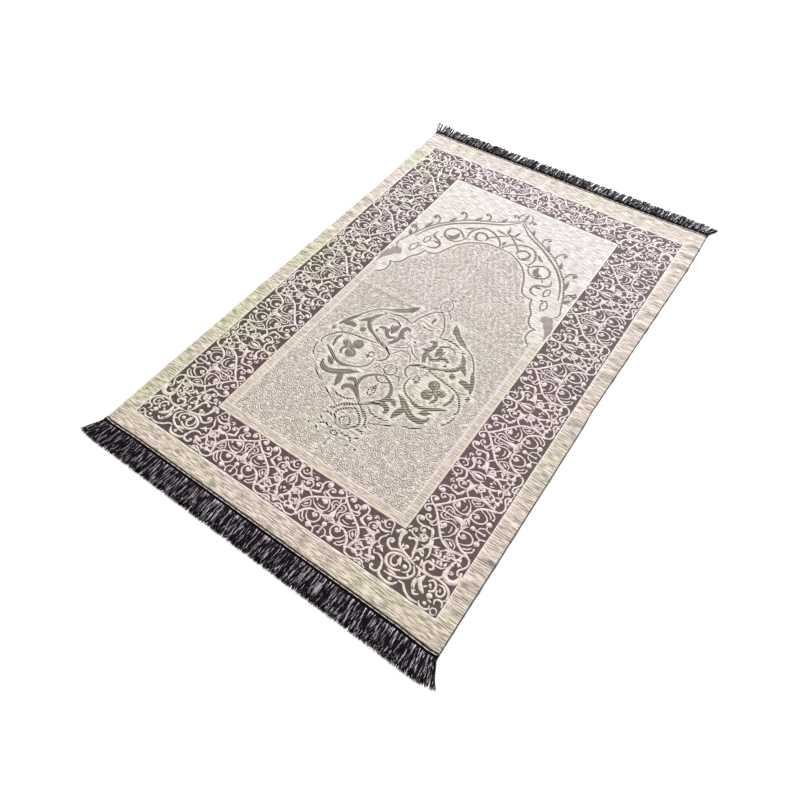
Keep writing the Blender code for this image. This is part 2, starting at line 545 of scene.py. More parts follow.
@dataclass(frozen=True)
class Stroke:
    """A line of yarn on the face: its points and, at each of them, half its width."""

    points: np.ndarray
    halves: np.ndarray


class Motif:
    """One motif of the pattern."""

    STEP = 2.6
    TAPER = 0.25

    def strokes(self) -> list[Stroke]:
        """Returns the strokes that the motif is worked in."""
        raise NotImplementedError

    @staticmethod
    def tapered(points: np.ndarray, width: float, first: float, last: float) -> Stroke:
        """Returns a stroke of this width, which narrows to these shares of it at its two ends."""
        run = distances(points)
        share = run / run[-1]
        start = first + (1 - first) * eased(share / Motif.TAPER)
        end = last + (1 - last) * eased((1 - share) / Motif.TAPER)
        return Stroke(points, 0.5 * width * start * end)


@dataclass(frozen=True)
class Vine(Motif):
    """A smooth stem through a few places."""

    width: float
    places: tuple[Place, ...]
    first: float = 0.55
    last: float = 0.45

    def strokes(self) -> list[Stroke]:
        """Returns the stem."""
        return [self.tapered(smooth_path(self.places, self.STEP), self.width, self.first, self.last)]


@dataclass(frozen=True)
class Bud(Motif):
    """A round bud."""

    centre: Place
    diameter: float

    def strokes(self) -> list[Stroke]:
        """Returns the bud as one short fat stroke with round ends."""
        turn = np.linspace(-0.46, 0.46, 7) * math.pi
        radius = self.diameter / 2
        points = np.array([[self.centre[0] + radius * math.sin(t), self.centre[1]] for t in turn])
        return [Stroke(points, radius * np.cos(turn))]


@dataclass(frozen=True)
class Leaf(Motif):
    """A pointed leaf from its stem to its tip, bowed to one side."""

    base: Place
    tip: Place
    width: float
    bow: float = 0.0

    def strokes(self) -> list[Stroke]:
        """Returns the leaf."""
        base, tip = np.array(self.base, float), np.array(self.tip, float)
        along = tip - base
        aside = np.array([-along[1], along[0]]) / np.linalg.norm(along)
        share = np.linspace(0, 1, max(6, math.ceil(np.linalg.norm(along) / self.STEP)))
        bowed = np.outer(4 * share * (1 - share) * self.bow, aside)
        fullness = np.sin(math.pi * share**0.8) ** 0.8
        points = base + np.outer(share, along) + bowed
        return [Stroke(points, 0.5 * self.width * np.maximum(0.12, fullness))]


@dataclass(frozen=True)
class Drop(Motif):
    """A drop: a round head that thins along a smooth path to its tail."""

    head: float
    places: tuple[Place, ...]
    tail: float = 0.14

    def strokes(self) -> list[Stroke]:
        """Returns the drop."""
        path = smooth_path(self.places, self.STEP * 0.6)
        run = distances(path)
        radius = self.head / 2
        rounded = np.sqrt(np.clip(1 - (1 - run / radius).clip(0, 1) ** 2, 0.02, 1))
        thinner = self.tail + (1 - self.tail) * (1 - eased((run - radius) / (run[-1] - radius)))
        return [Stroke(path, radius * rounded * thinner)]


@dataclass(frozen=True)
class Scroll(Motif):
    """A stem that winds round its eye and ends there in a bud."""

    width: float
    stem: tuple[Place, ...]
    eye: Place
    turn: float
    bud: float
    close: float = 0.45
    first: float = 0.5

    def strokes(self) -> list[Stroke]:
        """Returns the winding stem and the bud."""
        eye = np.array(self.eye, float)
        arm = np.array(self.stem[-1], float) - eye
        radius, angle = math.hypot(*arm), math.atan2(arm[1], arm[0])
        count = max(2, round(abs(self.turn) / 40))
        winding = []
        for index in range(1, count + 1):
            share = index / count
            away = radius * (1 - (1 - self.close) * share)
            at = angle + math.radians(self.turn) * share
            winding.append((eye[0] + away * math.cos(at), eye[1] + away * math.sin(at)))
        path = smooth_path([*self.stem, *winding], self.STEP * 0.8)
        strokes = [self.tapered(path, self.width, self.first, 0.9)]
        return strokes + (Bud(self.eye, self.bud).strokes() if self.bud else [])


def worked(motifs: Iterable[Motif]) -> list[Stroke]:
    """Returns the strokes of these motifs."""
    return [stroke for motif in motifs for stroke in motif.strokes()]


def drawn(pairs: Iterable[Motif], single: Iterable[Motif]) -> list[Stroke]:
    """Returns the strokes of the motifs that come in mirrored pairs and of those on the middle line."""
    both = []
    for stroke in worked(pairs):
        both += [stroke, Stroke(stroke.points * np.array([-1.0, 1.0]), stroke.halves)]
    return both + worked(single)


# Places in a dome: across from its middle line, up from the band's outer edge
DOME_PAIRS: tuple[Motif, ...] = (
    Vine(4.2, ((3, 73), (0, 76), (-8, 70), (-20, 62), (-34, 54), (-46, 46), (-53, 36), (-54, 22), (-48, 8)),
               0.8, 0.8),
    Scroll(3.0, ((4, 71), (0, 78), (-6, 84)), (-11, 79), 200, 7.5),
    Scroll(2.8, ((-12, 67), (-22, 64), (-29, 67)), (-23, 72), -210, 5.5),
    Scroll(2.4, ((-22, 61), (-28, 60), (-33, 62)), (-30, 66), -150, 4.5),
    Scroll(3.4, ((-52, 55), (-44, 59), (-41, 65), (-44, 74), (-42, 81), (-37, 84)), (-33, 79), -110, 9.5),
    Scroll(2.6, ((-43, 63), (-43, 70), (-47, 73)), (-50, 68), 150, 6.5),
    Leaf((-38, 62), (-56, 56), 5.5, 1.5),
    Vine(3.2, ((-44, 46), (-52, 52), (-60, 55), (-68, 52))),
    Scroll(2.8, ((-58, 55), (-56, 63), (-60, 68)), (-64, 63), 230, 5.5),
    Leaf((-56, 52), (-78, 46), 7.0, -2.0),
    Leaf((-62, 54), (-76, 58), 4.5, 1.5),
    Leaf((-66, 50), (-60, 41), 4.5, -1.5),
    Leaf((-70, 50), (-74, 62), 4.0, 1.0),
    Vine(2.8, ((0, 75), (-4.5, 69), (0, 63))),
    Vine(2.8, ((-1, 62), (-7, 63.5), (-12, 60), (-11, 54), (-6, 50), (-6, 45), (-9, 41))),
    Vine(2.2, ((-2, 58), (-6, 59), (-7, 55), (-4, 52))),
    Leaf((-2, 37), (-11, 35), 4.0, 1.0),
    Scroll(2.8, ((-42, 46), (-35, 40), (-26, 37), (-16, 38), (-12, 45), (-15, 53)), (-22, 52), 200, 8.5),
    Vine(2.4, ((-31, 43), (-24, 42), (-17, 44))),
    Vine(2.4, ((-51, 32), (-45, 42), (-39, 36), (-37, 31))),
    Vine(2.4, ((-51, 27), (-44, 28), (-39, 34))),
    Leaf((-48, 30), (-42, 37), 4.0),
    Vine(3.8, ((-27, 36), (-20, 36.5), (-13, 36))),
    Vine(3.2, ((-29, 31), (-20, 33), (-12, 32), (-6, 29))),
    Vine(4.6, ((-53, 3), (-47, 12), (-44, 20), (-37, 28), (-27, 33)), 0.6, 0.5),
    Scroll(3.0, ((-37, 27), (-33, 18), (-26, 13), (-17, 15), (-12, 22), (-14, 30)), (-20.5, 26),
                 250, 6.5, 0.4),
    Vine(2.8, ((-42, 21), (-37, 13), (-31, 10))),
    Vine(2.8, ((-45, 15), (-39, 8), (-32, 6))),
    Bud((-32, 7), 4.0),
    Bud((-21, 8), 10.0),
    Vine(2.6, ((-21, 10), (-12, 8), (-8, 14), (-2, 16))),
    Vine(3.0, ((-11, 8), (-8, 1)), 0.9, 0.9),
    Vine(2.6, ((-2, 27), (-7, 32), (-12, 34))),
    Vine(2.2, ((0, 38), (-4, 34), (0, 30))),
    Scroll(3.4, ((-46, 10), (-54, 4), (-62, 2.5), (-70, 5), (-77, 8.5), (-84, 7)), (-80, 3.5), 90, 5.5),
    Bud((-62, 14), 8.5),
    Leaf((-62, 14), (-51, 13), 4.5, 1.0),
    Leaf((-62, 15), (-66, 23), 4.0, 1.0),
    Leaf((-62, 14), (-73, 10), 4.0, -1.0),
    Scroll(2.6, ((-74, 34), (-67, 38), (-60, 34)), (-63, 30), -180, 4.5),
    Scroll(2.4, ((-73, 25), (-67, 28), (-62, 26)), (-65, 22), -160, 4.0),
    Leaf((-72, 44), (-64, 39), 4.0, 1.0),
    Leaf((-78, 40), (-70, 35), 3.6, -1.0),
    Leaf((-84, 33), (-77, 28), 3.6, 1.0),
    Scroll(2.4, ((-78, 18), (-84, 21), (-89, 18)), (-86, 14), 170, 4.0),
    Leaf((-76, 15), (-70, 20), 3.6, 1.0),
    Vine(2.4, ((-58, 35), (-57, 28), (-59, 21))),
    Leaf((-40, 52), (-34, 46), 4.0, 1.0),
    Leaf((-30, 56), (-24, 50), 3.6, -1.0),
    Bud((-19, 58), 3.6),
    Bud((-26, 26), 3.4),
    Leaf((-50, 16), (-52, 26), 3.4, 1.0),
)
DOME_SINGLE: tuple[Motif, ...] = (
    Vine(3.2, ((0, 64), (0, 52), (0, 42)), 0.9, 0.9),
    Leaf((0, 32), (0, 50), 10.0),
    Bud((0, 22), 8.5),
    Vine(3.2, ((0, 22), (0, 8)), 0.9, 0.9),
    Bud((0, 6), 5.0),
    Bud((0, 85), 3.6),
)

# Places in a join between two domes: across from its middle line, up from the band's outer edge
JOIN_PAIRS: tuple[Motif, ...] = (
    Scroll(2.8, ((2, 66), (-1, 75), (-4, 84)), (-10, 79), 290, 3.5, 0.75),
    Vine(3.2, ((-1, 66), (-4, 60), (-8, 54), (-7, 47), (-2, 43))),
    Vine(4.2, ((-1, 70), (-9, 66), (-17, 66), (-24, 70), (-31, 72)), 0.6, 0.3),
    Leaf((-20, 68), (-30, 73), 5.0, -1.0),
    Scroll(2.4, ((-15, 73), (-18, 80), (-24, 81)), (-22, 76), -150, 4.0),
    Scroll(2.4, ((-27, 76), (-32, 79), (-37, 77)), (-34, 74.5), -140, 3.5),
    Vine(4.6, ((-8, 48), (-12, 40), (-11, 30), (-7, 24), (-2, 21))),
    Vine(3.2, ((-12, 45), (-19, 42), (-18, 34))),
    Leaf((-12, 38), (-20, 47), 4.5, 1.0),
    Vine(3.8, ((-10, 33), (-16, 30), (-20, 23), (-27, 18)), 0.6, 0.5),
    Scroll(2.8, ((-20, 17), (-14, 13), (-7, 14)), (-6, 20), 140, 6.5),
    Leaf((-16, 17), (-24, 9), 3.6, 1.0),
    Leaf((-6, 34), (-3, 28), 3.0),
    Leaf((-22, 60), (-14, 58), 4.0, 1.0),
    Leaf((-26, 53), (-17, 53), 3.6, -1.0),
    Leaf((-28, 40), (-21, 37), 4.0, 1.0),
    Leaf((-27, 31), (-22, 26), 3.6, -1.0),
    Vine(2.2, ((-9, 6), (-4, 3), (0, 2))),
    Leaf((-14, 5), (-22, 3), 3.6, 1.0),
)
JOIN_SINGLE: tuple[Motif, ...] = (
    Vine(5.0, ((0, 86), (0, 76), (0, 65)), 0.5, 0.8),
    Leaf((0, 45), (0, 63), 7.0),
    Bud((0, 34), 5.0),
    Bud((0, 9), 7.5),
)

# Places in a corner: in from the band's outer side edge, and in from its outer end edge
CORNER: tuple[Motif, ...] = (
    Vine(2.6, ((3, 5), (8, 1.5), (13, 5), (12, 10), (6, 11), (3, 6))),
    Vine(3.4, ((2, 17), (4, 23), (10, 25), (15, 21), (13, 15))),
    Bud((25, 22), 9.5),
    Vine(3.6, ((34, 8), (30, 3), (22, 2), (16, 6), (18, 11))),
    Bud((25, 9.5), 6.0),
    Vine(7.0, ((46, 44), (48, 33), (42, 25), (34, 20)), 0.5, 0.5),
    Vine(3.0, ((52, 40), (56, 28), (52, 18), (45, 17))),
    Leaf((34, 38), (29, 32), 5.0, 0.5),
    Leaf((40, 27), (35, 33), 3.6),
    Leaf((18, 40), (15, 34), 4.0),
    Leaf((17, 15), (25, 15), 3.6, 1.0),
    Vine(4.0, ((38, 39), (32, 44), (25, 40), (24, 31), (30, 27)), 0.6, 0.8),
    Vine(4.2, ((66, 48), (46, 46), (28, 49), (13, 47), (4, 40), (2, 30), (8, 24)), 0.7, 0.6),
    Vine(3.8, ((23, 43), (15, 44), (9, 38), (11, 30), (18, 29), (20, 35)), 0.6, 0.9),
    Vine(8.5, ((22, 76), (24, 66), (23, 59), (15, 55), (6, 58), (2.5, 68), (5, 76)), 0.3, 0.3),
    Vine(3.6, ((23, 59), (28, 52), (38, 48)), 0.8, 0.5),
    Vine(4.2, ((38, 48), (50, 48), (57, 56), (54, 64), (46, 63), (42, 58), (47, 54)), 0.6, 0.9),
    Vine(3.0, ((52, 62), (43, 64), (34, 65), (27, 70))),
    Leaf((46, 65), (53, 70), 5.0, 1.0),
    Leaf((41, 66), (45, 74), 5.0, 0.5),
    Leaf((35, 67), (38, 75), 5.0, -0.5),
    Leaf((30, 69), (30, 77), 5.0, -1.0),
    Vine(3.0, ((57, 76), (47, 77), (37, 78), (28, 82))),
    Leaf((50, 78), (55, 84), 4.6, 1.0),
    Leaf((44, 78), (47, 86), 4.6, 0.5),
    Leaf((38, 79), (38, 87), 4.6, -0.5),
    Leaf((32, 81), (29, 89), 4.6, -1.0),
    Vine(4.0, ((17, 92), (22, 82), (25, 71)), 0.5, 0.6),
    Leaf((19, 88), (9, 84), 4.5, 1.0),
    Vine(4.4, ((117, 76), (115, 83), (109, 81), (108, 71), (104, 61), (95, 56), (83, 52), (68, 48)),
               0.8, 0.6),
    Bud((118, 77), 6.5),
    Vine(4.2, ((96, 77), (92, 81), (85, 79), (82, 71), (80, 61), (76, 54)), 0.8, 0.6),
    Bud((97, 78), 6.0),
    Bud((93, 64), 7.5),
    Vine(3.2, ((93, 62), (96, 56))),
    Vine(3.6, ((68, 66), (75, 69), (79, 63), (77, 54)), 0.7, 0.6),
    Bud((67, 66), 5.5),
    Bud((70, 58), 7.0),
    Vine(3.2, ((70, 56), (74, 51))),
    Vine(4.4, ((76, 52), (93, 54), (103, 52), (110, 48), (118, 51), (122, 58), (118, 63), (113, 60)),
               0.6, 0.8),
    Bud((116, 58), 5.5),
    Vine(4.6, ((66, 48), (58, 46), (54, 36), (52, 21), (46, 12), (39, 15)), 0.7, 0.7),
    Vine(5.0, ((80, 48), (93, 49), (105, 44), (109, 35), (103, 26), (91, 24), (80, 29)), 0.5, 0.7),
    Vine(3.6, ((99, 46), (102, 38), (98, 30), (91, 30), (89, 36), (93, 40))),
    Leaf((91, 47), (84, 34), 6.0, 1.5),
    Vine(3.6, ((86, 46), (77, 46), (70, 40), (71, 32), (78, 28))),
    Bud((78, 37), 7.5),
    Leaf((70, 31), (64, 27), 3.6),
    Vine(4.4, ((68, 46), (61, 36), (65, 26), (75, 19), (86, 16), (100, 15)), 0.6, 0.6),
    Vine(5.2, ((105, 17), (105, 9), (96, 4), (81, 4), (74, 12)), 0.5, 0.6),
    Bud((86, 10), 6.5),
    Leaf((78, 17), (98, 20), 5.0, 1.0),
    Vine(4.2, ((128, 29), (120, 31), (111, 26), (107, 16), (109, 8), (118, 7), (122, 12)), 0.6, 0.8),
    Bud((120, 12), 6.0),
    Bud((125, 21), 7.5),
    Vine(3.2, ((125, 21), (136, 18))),
    Vine(4.2, ((74, 15), (66, 15), (58, 8), (46, 3), (34, 4)), 0.6, 0.6),
    Leaf((128, 45), (117, 37), 5.5, 1.0),
    Leaf((131, 38), (122, 46), 5.0, 1.0),
    Leaf((60, 50), (64, 62), 5.0, 1.0),
    Scroll(3.0, ((82, 76), (88, 84), (95, 86)), (96, 93), 210, 5.0),
    Scroll(3.0, ((84, 82), (86, 91), (82, 98)), (77, 92), -200, 6.5),
    Leaf((86, 79), (89, 93), 4.0, 1.0),
    Leaf((80, 66), (70, 80), 5.5, 1.5),
    Leaf((76, 72), (66, 70), 4.5, -1.0),
    Vine(3.6, ((72, 96), (66, 89), (62, 81), (59, 72), (60, 64))),
    Leaf((64, 86), (56, 90), 4.6, 1.0),
    Scroll(2.8, ((105, 60), (109, 68), (112, 76)), (107, 80), 180, 4.5),
    Leaf((100, 66), (98, 58), 4.0),
    Bud((104, 88), 4.5),
    Leaf((104, 97), (109, 90), 4.0, 1.0),
)

# Places in the arch: across from the rug's middle line, along from the middle of the cloth
ARCH_LINES: tuple[Motif, ...] = (
    Vine(2.2, ((7, 368), (13, 358), (15, 348), (10, 338))),
    Vine(2.4, ((-6, 345), (3, 338), (12, 331), (21, 325), (31, 318), (46, 307), (63, 299), (82, 289),
               (101, 278), (112, 269), (126, 256), (141, 239), (151, 227), (159, 214), (166, 199), (173, 183),
               (179, 165), (184, 150), (188, 138), (186, 128), (178, 119)), 0.7, 0.7),
    Scroll(2.4, ((15, 341), (18, 349)), (23, 345), -140, 5.5),
    Scroll(2.6, ((66, 298), (64, 309), (69, 318)), (75, 315), -130, 6.0),
    Scroll(2.6, ((111, 270), (110, 284), (116, 292)), (124, 289), -130, 7.0),
    Scroll(2.6, ((151, 228), (152, 242), (158, 251)), (166, 248), -130, 9.0),
    Scroll(2.6, ((175, 180), (178, 193), (184, 199)), (190, 194), -130, 8.0),
    Vine(2.4, ((0, 237), (13, 237), (31, 234), (50, 224), (64, 214), (77, 199), (86, 183), (93, 165),
               (99, 152), (109, 145), (126, 143)), 0.9, 0.9),
    Vine(2.4, ((126, 143), (128, 131), (136, 118), (142, 109), (144, 98), (149, 87), (158, 79), (168, 78)),
               0.9, 0.9),
    Vine(2.2, ((168, 78), (161, 68), (161, 53), (168, 42), (177, 33)), 0.9, 0.6),
    Vine(2.8, ((-6, 287), (2, 282), (12, 275), (23, 265), (33, 254), (37, 243)), 0.8, 0.6),
    Vine(3.2, ((2, 240), (8, 252), (20, 264), (36, 272), (50, 275), (64, 270), (73, 258), (77, 242),
               (74, 228)), 0.7, 0.7),
    Vine(2.2, ((40, 238), (52, 232), (62, 235), (70, 240))),
    Scroll(3.0, ((64, 226), (78, 223), (88, 232), (98, 238), (110, 238)), (105, 220), -250, 0.0, 0.8),
    Vine(2.2, ((75, 226), (79, 214), (87, 204), (101, 200), (118, 203))),
    Vine(2.0, ((141, 190), (135, 177), (140, 162))),
    Vine(2.0, ((141, 190), (147, 176), (140, 162))),
    Vine(2.0, ((149, 158), (146, 141), (153, 125))),
    Vine(2.0, ((149, 158), (159, 141), (153, 125))),
    Bud((119, 198), 4.0),
)
ARCH_FILLS: tuple[Motif, ...] = (
    Vine(5.0, ((2, 333), (15, 321), (30, 307), (52, 295), (78, 281), (100, 266), (122, 249), (141, 228),
               (152, 211), (161, 192), (168, 170)), 0.5, 0.5),
    Leaf((40, 312), (33, 330), 6.5, 1.0),
    Leaf((90, 286), (80, 304), 7.0, 1.5),
    Leaf((134, 253), (126, 272), 7.0, 1.5),
    Leaf((167, 204), (162, 232), 8.0, 1.5),
    Leaf((180, 168), (190, 184), 9.0, 1.0),
    Scroll(5.5, ((36, 240), (38, 252), (48, 259), (60, 256)), (50, 247), -120, 0.0, 0.85),
    Leaf((76, 264), (94, 249), 7.0, -1.5),
    Leaf((9, 283), (13, 307), 6.0, 1.0),
    Leaf((10, 281), (35, 282), 6.0, 1.5),
    Vine(9.0, ((94, 230), (95, 218), (102, 211), (112, 211)), 0.4, 0.3),
    Vine(5.0, ((134, 210), (137, 198), (130, 190), (118, 186), (110, 177), (111, 164), (120, 158),
               (129, 158)), 0.5, 0.5),
    Leaf((112, 177), (129, 179), 6.0, 1.0),
    Bud((142, 151), 6.5),
    Leaf((190, 206), (182, 188), 6.0, -1.0),
)
ARCH_FEET: tuple[Motif, ...] = (
    Bud((175, 111), 25.0),
    Drop(22.0, ((177, 109), (184, 98), (190, 84), (192, 64))),
)
ARCH_MIDDLE: tuple[Motif, ...] = (
    Leaf((0, 344), (0, 368), 7.0),
    Leaf((0, 262), (0, 246), 7.0),
)

# Places in the medallion, measured as in the arch
MEDALLION_LINES: tuple[Motif, ...] = (
    Vine(2.4, ((0, 15), (10, 9), (20, -6), (28, -22), (31, -39)), 0.8, 0.8),
    Vine(2.2, ((0, -28), (8, -26), (15, -21))),
    Vine(2.0, ((0, -36), (8, -35), (14, -31))),
    Vine(1.8, ((0, 52), (10, 42), (11, 29), (3, 18))),
    Bud((6, 55), 4.0),
    Vine(2.2, ((11, 22), (19, 18), (23, 9))),
    Vine(3.0, ((31, -40), (47, -37), (63, -37), (78, -42))),
    Vine(2.6, ((84, -50), (91, -46))),
    Vine(2.8, ((44, -58), (57, -51), (69, -51), (77, -58))),
    Vine(2.6, ((59, -61), (57, -73), (57, -85))),
    Vine(2.8, ((40, -90), (47, -95), (56, -92))),
    Bud((76, -91), 6.0),
    Vine(2.8, ((36, -84), (36, -96), (42, -106))),
    Vine(2.8, ((58, -117), (84, -121), (108, -125), (128, -132), (141, -147), (148, -162), (145, -173)),
               0.7, 0.7),
    Vine(2.6, ((128, -129), (141, -123))),
    Bud((148, -131), 8.0),
    Vine(2.8, ((60, -113), (42, -117), (26, -123), (21, -135), (26, -145), (35, -151)), 0.7, 0.7),
    Vine(2.6, ((40, -147), (39, -161), (44, -174), (59, -185), (82, -191)), 0.7, 0.7),
    Vine(2.6, ((43, -144), (49, -138), (55, -143), (51, -150), (44, -147)), 0.9, 0.9),
    Vine(2.0, ((0, -142), (8, -145), (12, -154), (8, -163), (0, -166)), 0.9, 0.9),
    Vine(2.2, ((12, -161), (22, -159), (28, -169))),
    Vine(2.4, ((0, -187), (8, -185), (14, -179))),
    Vine(2.0, ((0, -88), (9, -98), (20, -104), (33, -110))),
    Vine(1.8, ((0, -104), (10, -106), (15, -114), (20, -122))),
    Vine(3.2, ((0, -170), (14, -176), (26, -186), (33, -200), (31, -216), (20, -230), (6, -241), (-9, -252),
               (-22, -263)), 0.7, 0.6),
    Vine(2.0, ((3, -200), (6, -212), (0, -224))),
    Vine(2.8, ((14, -241), (28, -249), (46, -250), (62, -245))),
    Vine(3.0, ((86, -242), (104, -233), (119, -221))),
    Vine(2.4, ((150, -174), (147, -190), (139, -204)), 0.8, 0.8),
    Vine(2.6, ((34, -270), (54, -259), (74, -250))),
    Vine(2.8, ((0, -256), (15, -266), (24, -281), (13, -296), (0, -303)), 0.8, 0.8),
    Vine(2.6, ((0, -276), (9, -284), (9, -292), (0, -298))),
    Vine(2.6, ((9, -250), (22, -258), (30, -270), (32, -281))),
    Vine(2.8, ((31, -274), (39, -279))),
    Vine(2.8, ((25, -292), (33, -288), (41, -292))),
    Vine(2.8, ((34, -305), (41, -301))),
    Vine(2.8, ((17, -311), (26, -309), (35, -316))),
    Vine(2.8, ((30, -326), (36, -322))),
    Vine(2.8, ((47, -320), (51, -326))),
    Vine(2.6, ((9, -309), (16, -312))),
    Vine(2.6, ((0, -312), (7, -316), (0, -321))),
)
MEDALLION_FILLS: tuple[Motif, ...] = (
    Vine(11.0, ((41, 3), (52, -12), (66, -24), (86, -34)), 0.25, 0.2),
    Vine(3.2, ((80, -32), (102, -43), (117, -60), (128, -78)), 0.8, 0.8),
    Vine(8.0, ((124, -76), (134, -92), (141, -108), (145, -119)), 0.35, 0.5),
    Leaf((48, -19), (40, -2), 9.0, -3.0),
    Vine(12.0, ((115, -106), (127, -105), (138, -112)), 0.7, 0.5),
    Vine(11.0, ((94, -103), (99, -104), (104, -108)), 0.7, 0.7),
    Vine(9.0, ((89, -51), (99, -66), (100, -80), (93, -92), (80, -101)), 0.35, 0.75),
    Vine(6.0, ((84, -98), (66, -107), (46, -114), (24, -120)), 0.9, 0.35),
    Leaf((97, -66), (119, -90), 10.0, -1.5),
    Vine(9.0, ((22, -58), (31, -55), (35, -66), (29, -77), (20, -80)), 0.5, 0.6),
    Vine(7.0, ((35, -72), (30, -86), (34, -98), (38, -107)), 0.8, 0.4),
    Leaf((46, -58), (49, -84), 13.0, 2.0),
    Vine(8.0, ((38, -86), (46, -92), (56, -88), (61, -80), (71, -79), (77, -83)), 0.6, 0.6),
    Bud((84, -139), 22.0),
    Bud((104, -147), 17.0),
    Bud((84, -163), 22.0),
    Bud((93, -151), 13.0),
    Vine(6.0, ((94, -152), (103, -162), (98, -176)), 0.6, 0.4),
    Vine(6.0, ((123, -136), (126, -150), (121, -168)), 0.5, 0.6),
    Vine(7.0, ((131, -171), (112, -182), (97, -190), (80, -193), (64, -187)), 0.5, 0.4),
    Vine(5.0, ((0, -172), (14, -177), (25, -187), (30, -200), (28, -215), (17, -229), (4, -240)), 0.5, 0.6),
    Leaf((50, -155), (59, -148), 5.0, 0.5),
    Vine(12.0, ((43, -190), (58, -198), (72, -208), (86, -216), (98, -218), (110, -213), (116, -202)),
                0.25, 0.4),
    Leaf((94, -204), (114, -192), 10.0, 1.0),
    Leaf((71, -206), (61, -240), 13.0, -2.0),
    Vine(9.0, ((29, -215), (41, -208), (53, -214)), 0.5, 0.4),
    Vine(10.0, ((11, -236), (24, -226), (36, -223), (46, -229), (44, -238)), 0.4, 0.6),
)
MEDALLION_VEINS: tuple[Motif, ...] = (
    Scroll(1.9, ((97, -156), (92, -148), (90, -138)), (84, -138), 150, 3.0),
    Scroll(1.9, ((97, -156), (98, -150), (102, -142)), (106, -146), -150, 3.0),
    Scroll(1.9, ((97, -156), (92, -156), (88, -160)), (83, -165), 150, 3.0),
    Vine(1.8, ((60, -202), (76, -212), (92, -219)), 0.5, 0.5),
    Vine(1.8, ((52, -14), (66, -26), (80, -33)), 0.5, 0.5),
    Vine(1.8, ((94, -62), (99, -74), (94, -88)), 0.5, 0.5),
)
MEDALLION_MIDDLE: tuple[Motif, ...] = (
    Bud((0, 55), 4.5),
    Bud((0, 17), 4.5),
    Leaf((0, -3), (0, -20), 5.0),
    Bud((0, -76), 4.5),
    Leaf((0, -192), (0, -214), 4.0),
    Bud((0, -330), 4.5),
    Bud((0, -341), 4.5),
)


# Finishes


@dataclass(frozen=True)
class RugColours:
    """The colours of the yarns, as linear light."""

    cream: Colour = (0.735, 0.635, 0.545)
    # The dark of the weft streaks: partly the yarn's own tone and partly painted shade of the cloth's tiny
    # ripples.
    cream_shadow: Colour = (0.22, 0.18, 0.14)
    field_ground: Colour = (0.600, 0.542, 0.499)
    lane_ground: Colour = (0.63, 0.57, 0.52)
    field_yarn: Colour = (0.98, 0.91, 0.845)
    field_yarn_shadow: Colour = (0.60, 0.525, 0.46)
    # Painted shadow: the dark yarn laid wider under each raised curl and dash of the field stands in for the
    # shade beside their relief.
    painted_shadow_yarn: Colour = (0.38, 0.315, 0.265)
    shade_yarn_shadow: Colour = (0.20, 0.16, 0.125)
    pale_line: Colour = (0.80, 0.74, 0.68)
    band_ground: Colour = (0.076, 0.054, 0.050)
    vine: Colour = (0.82, 0.695, 0.685)
    vine_shadow: Colour = (0.55, 0.44, 0.43)
    dark_yarn: Colour = (0.030, 0.022, 0.020)
    dark_shadow: Colour = (0.018, 0.013, 0.012)
    foot_yarn: Colour = (0.20, 0.16, 0.15)
    foot_shadow: Colour = (0.13, 0.10, 0.09)
    stitch: Colour = (0.012, 0.009, 0.010)
    stitch_shadow: Colour = (0.006, 0.005, 0.006)
    reverse: Colour = (0.36, 0.30, 0.26)
    reverse_shadow: Colour = (0.12, 0.09, 0.085)
    # Painted shadow: the brown of the thin strip along the right edge, where the cloth's edge lies in shade.
    painted_shadow_brown: Colour = (0.075, 0.05, 0.038)
    painted_shadow_brown_dark: Colour = (0.04, 0.026, 0.02)
    left_strip_lilac: Colour = (0.74, 0.69, 0.80)
    left_strip_lilac_dark: Colour = (0.60, 0.55, 0.66)
    tape: Colour = (0.006, 0.0045, 0.006)
    tape_shadow: Colour = (0.003, 0.002, 0.003)
    fringe_dark: Colour = (0.012, 0.007, 0.010)
    # Painted highlights of the fringe yarns, dim and bright.
    fringe_painted_highlight_dim: Colour = (0.46, 0.39, 0.47)
    fringe_painted_highlight: Colour = (0.88, 0.77, 0.86)


COLOURS = RugColours()


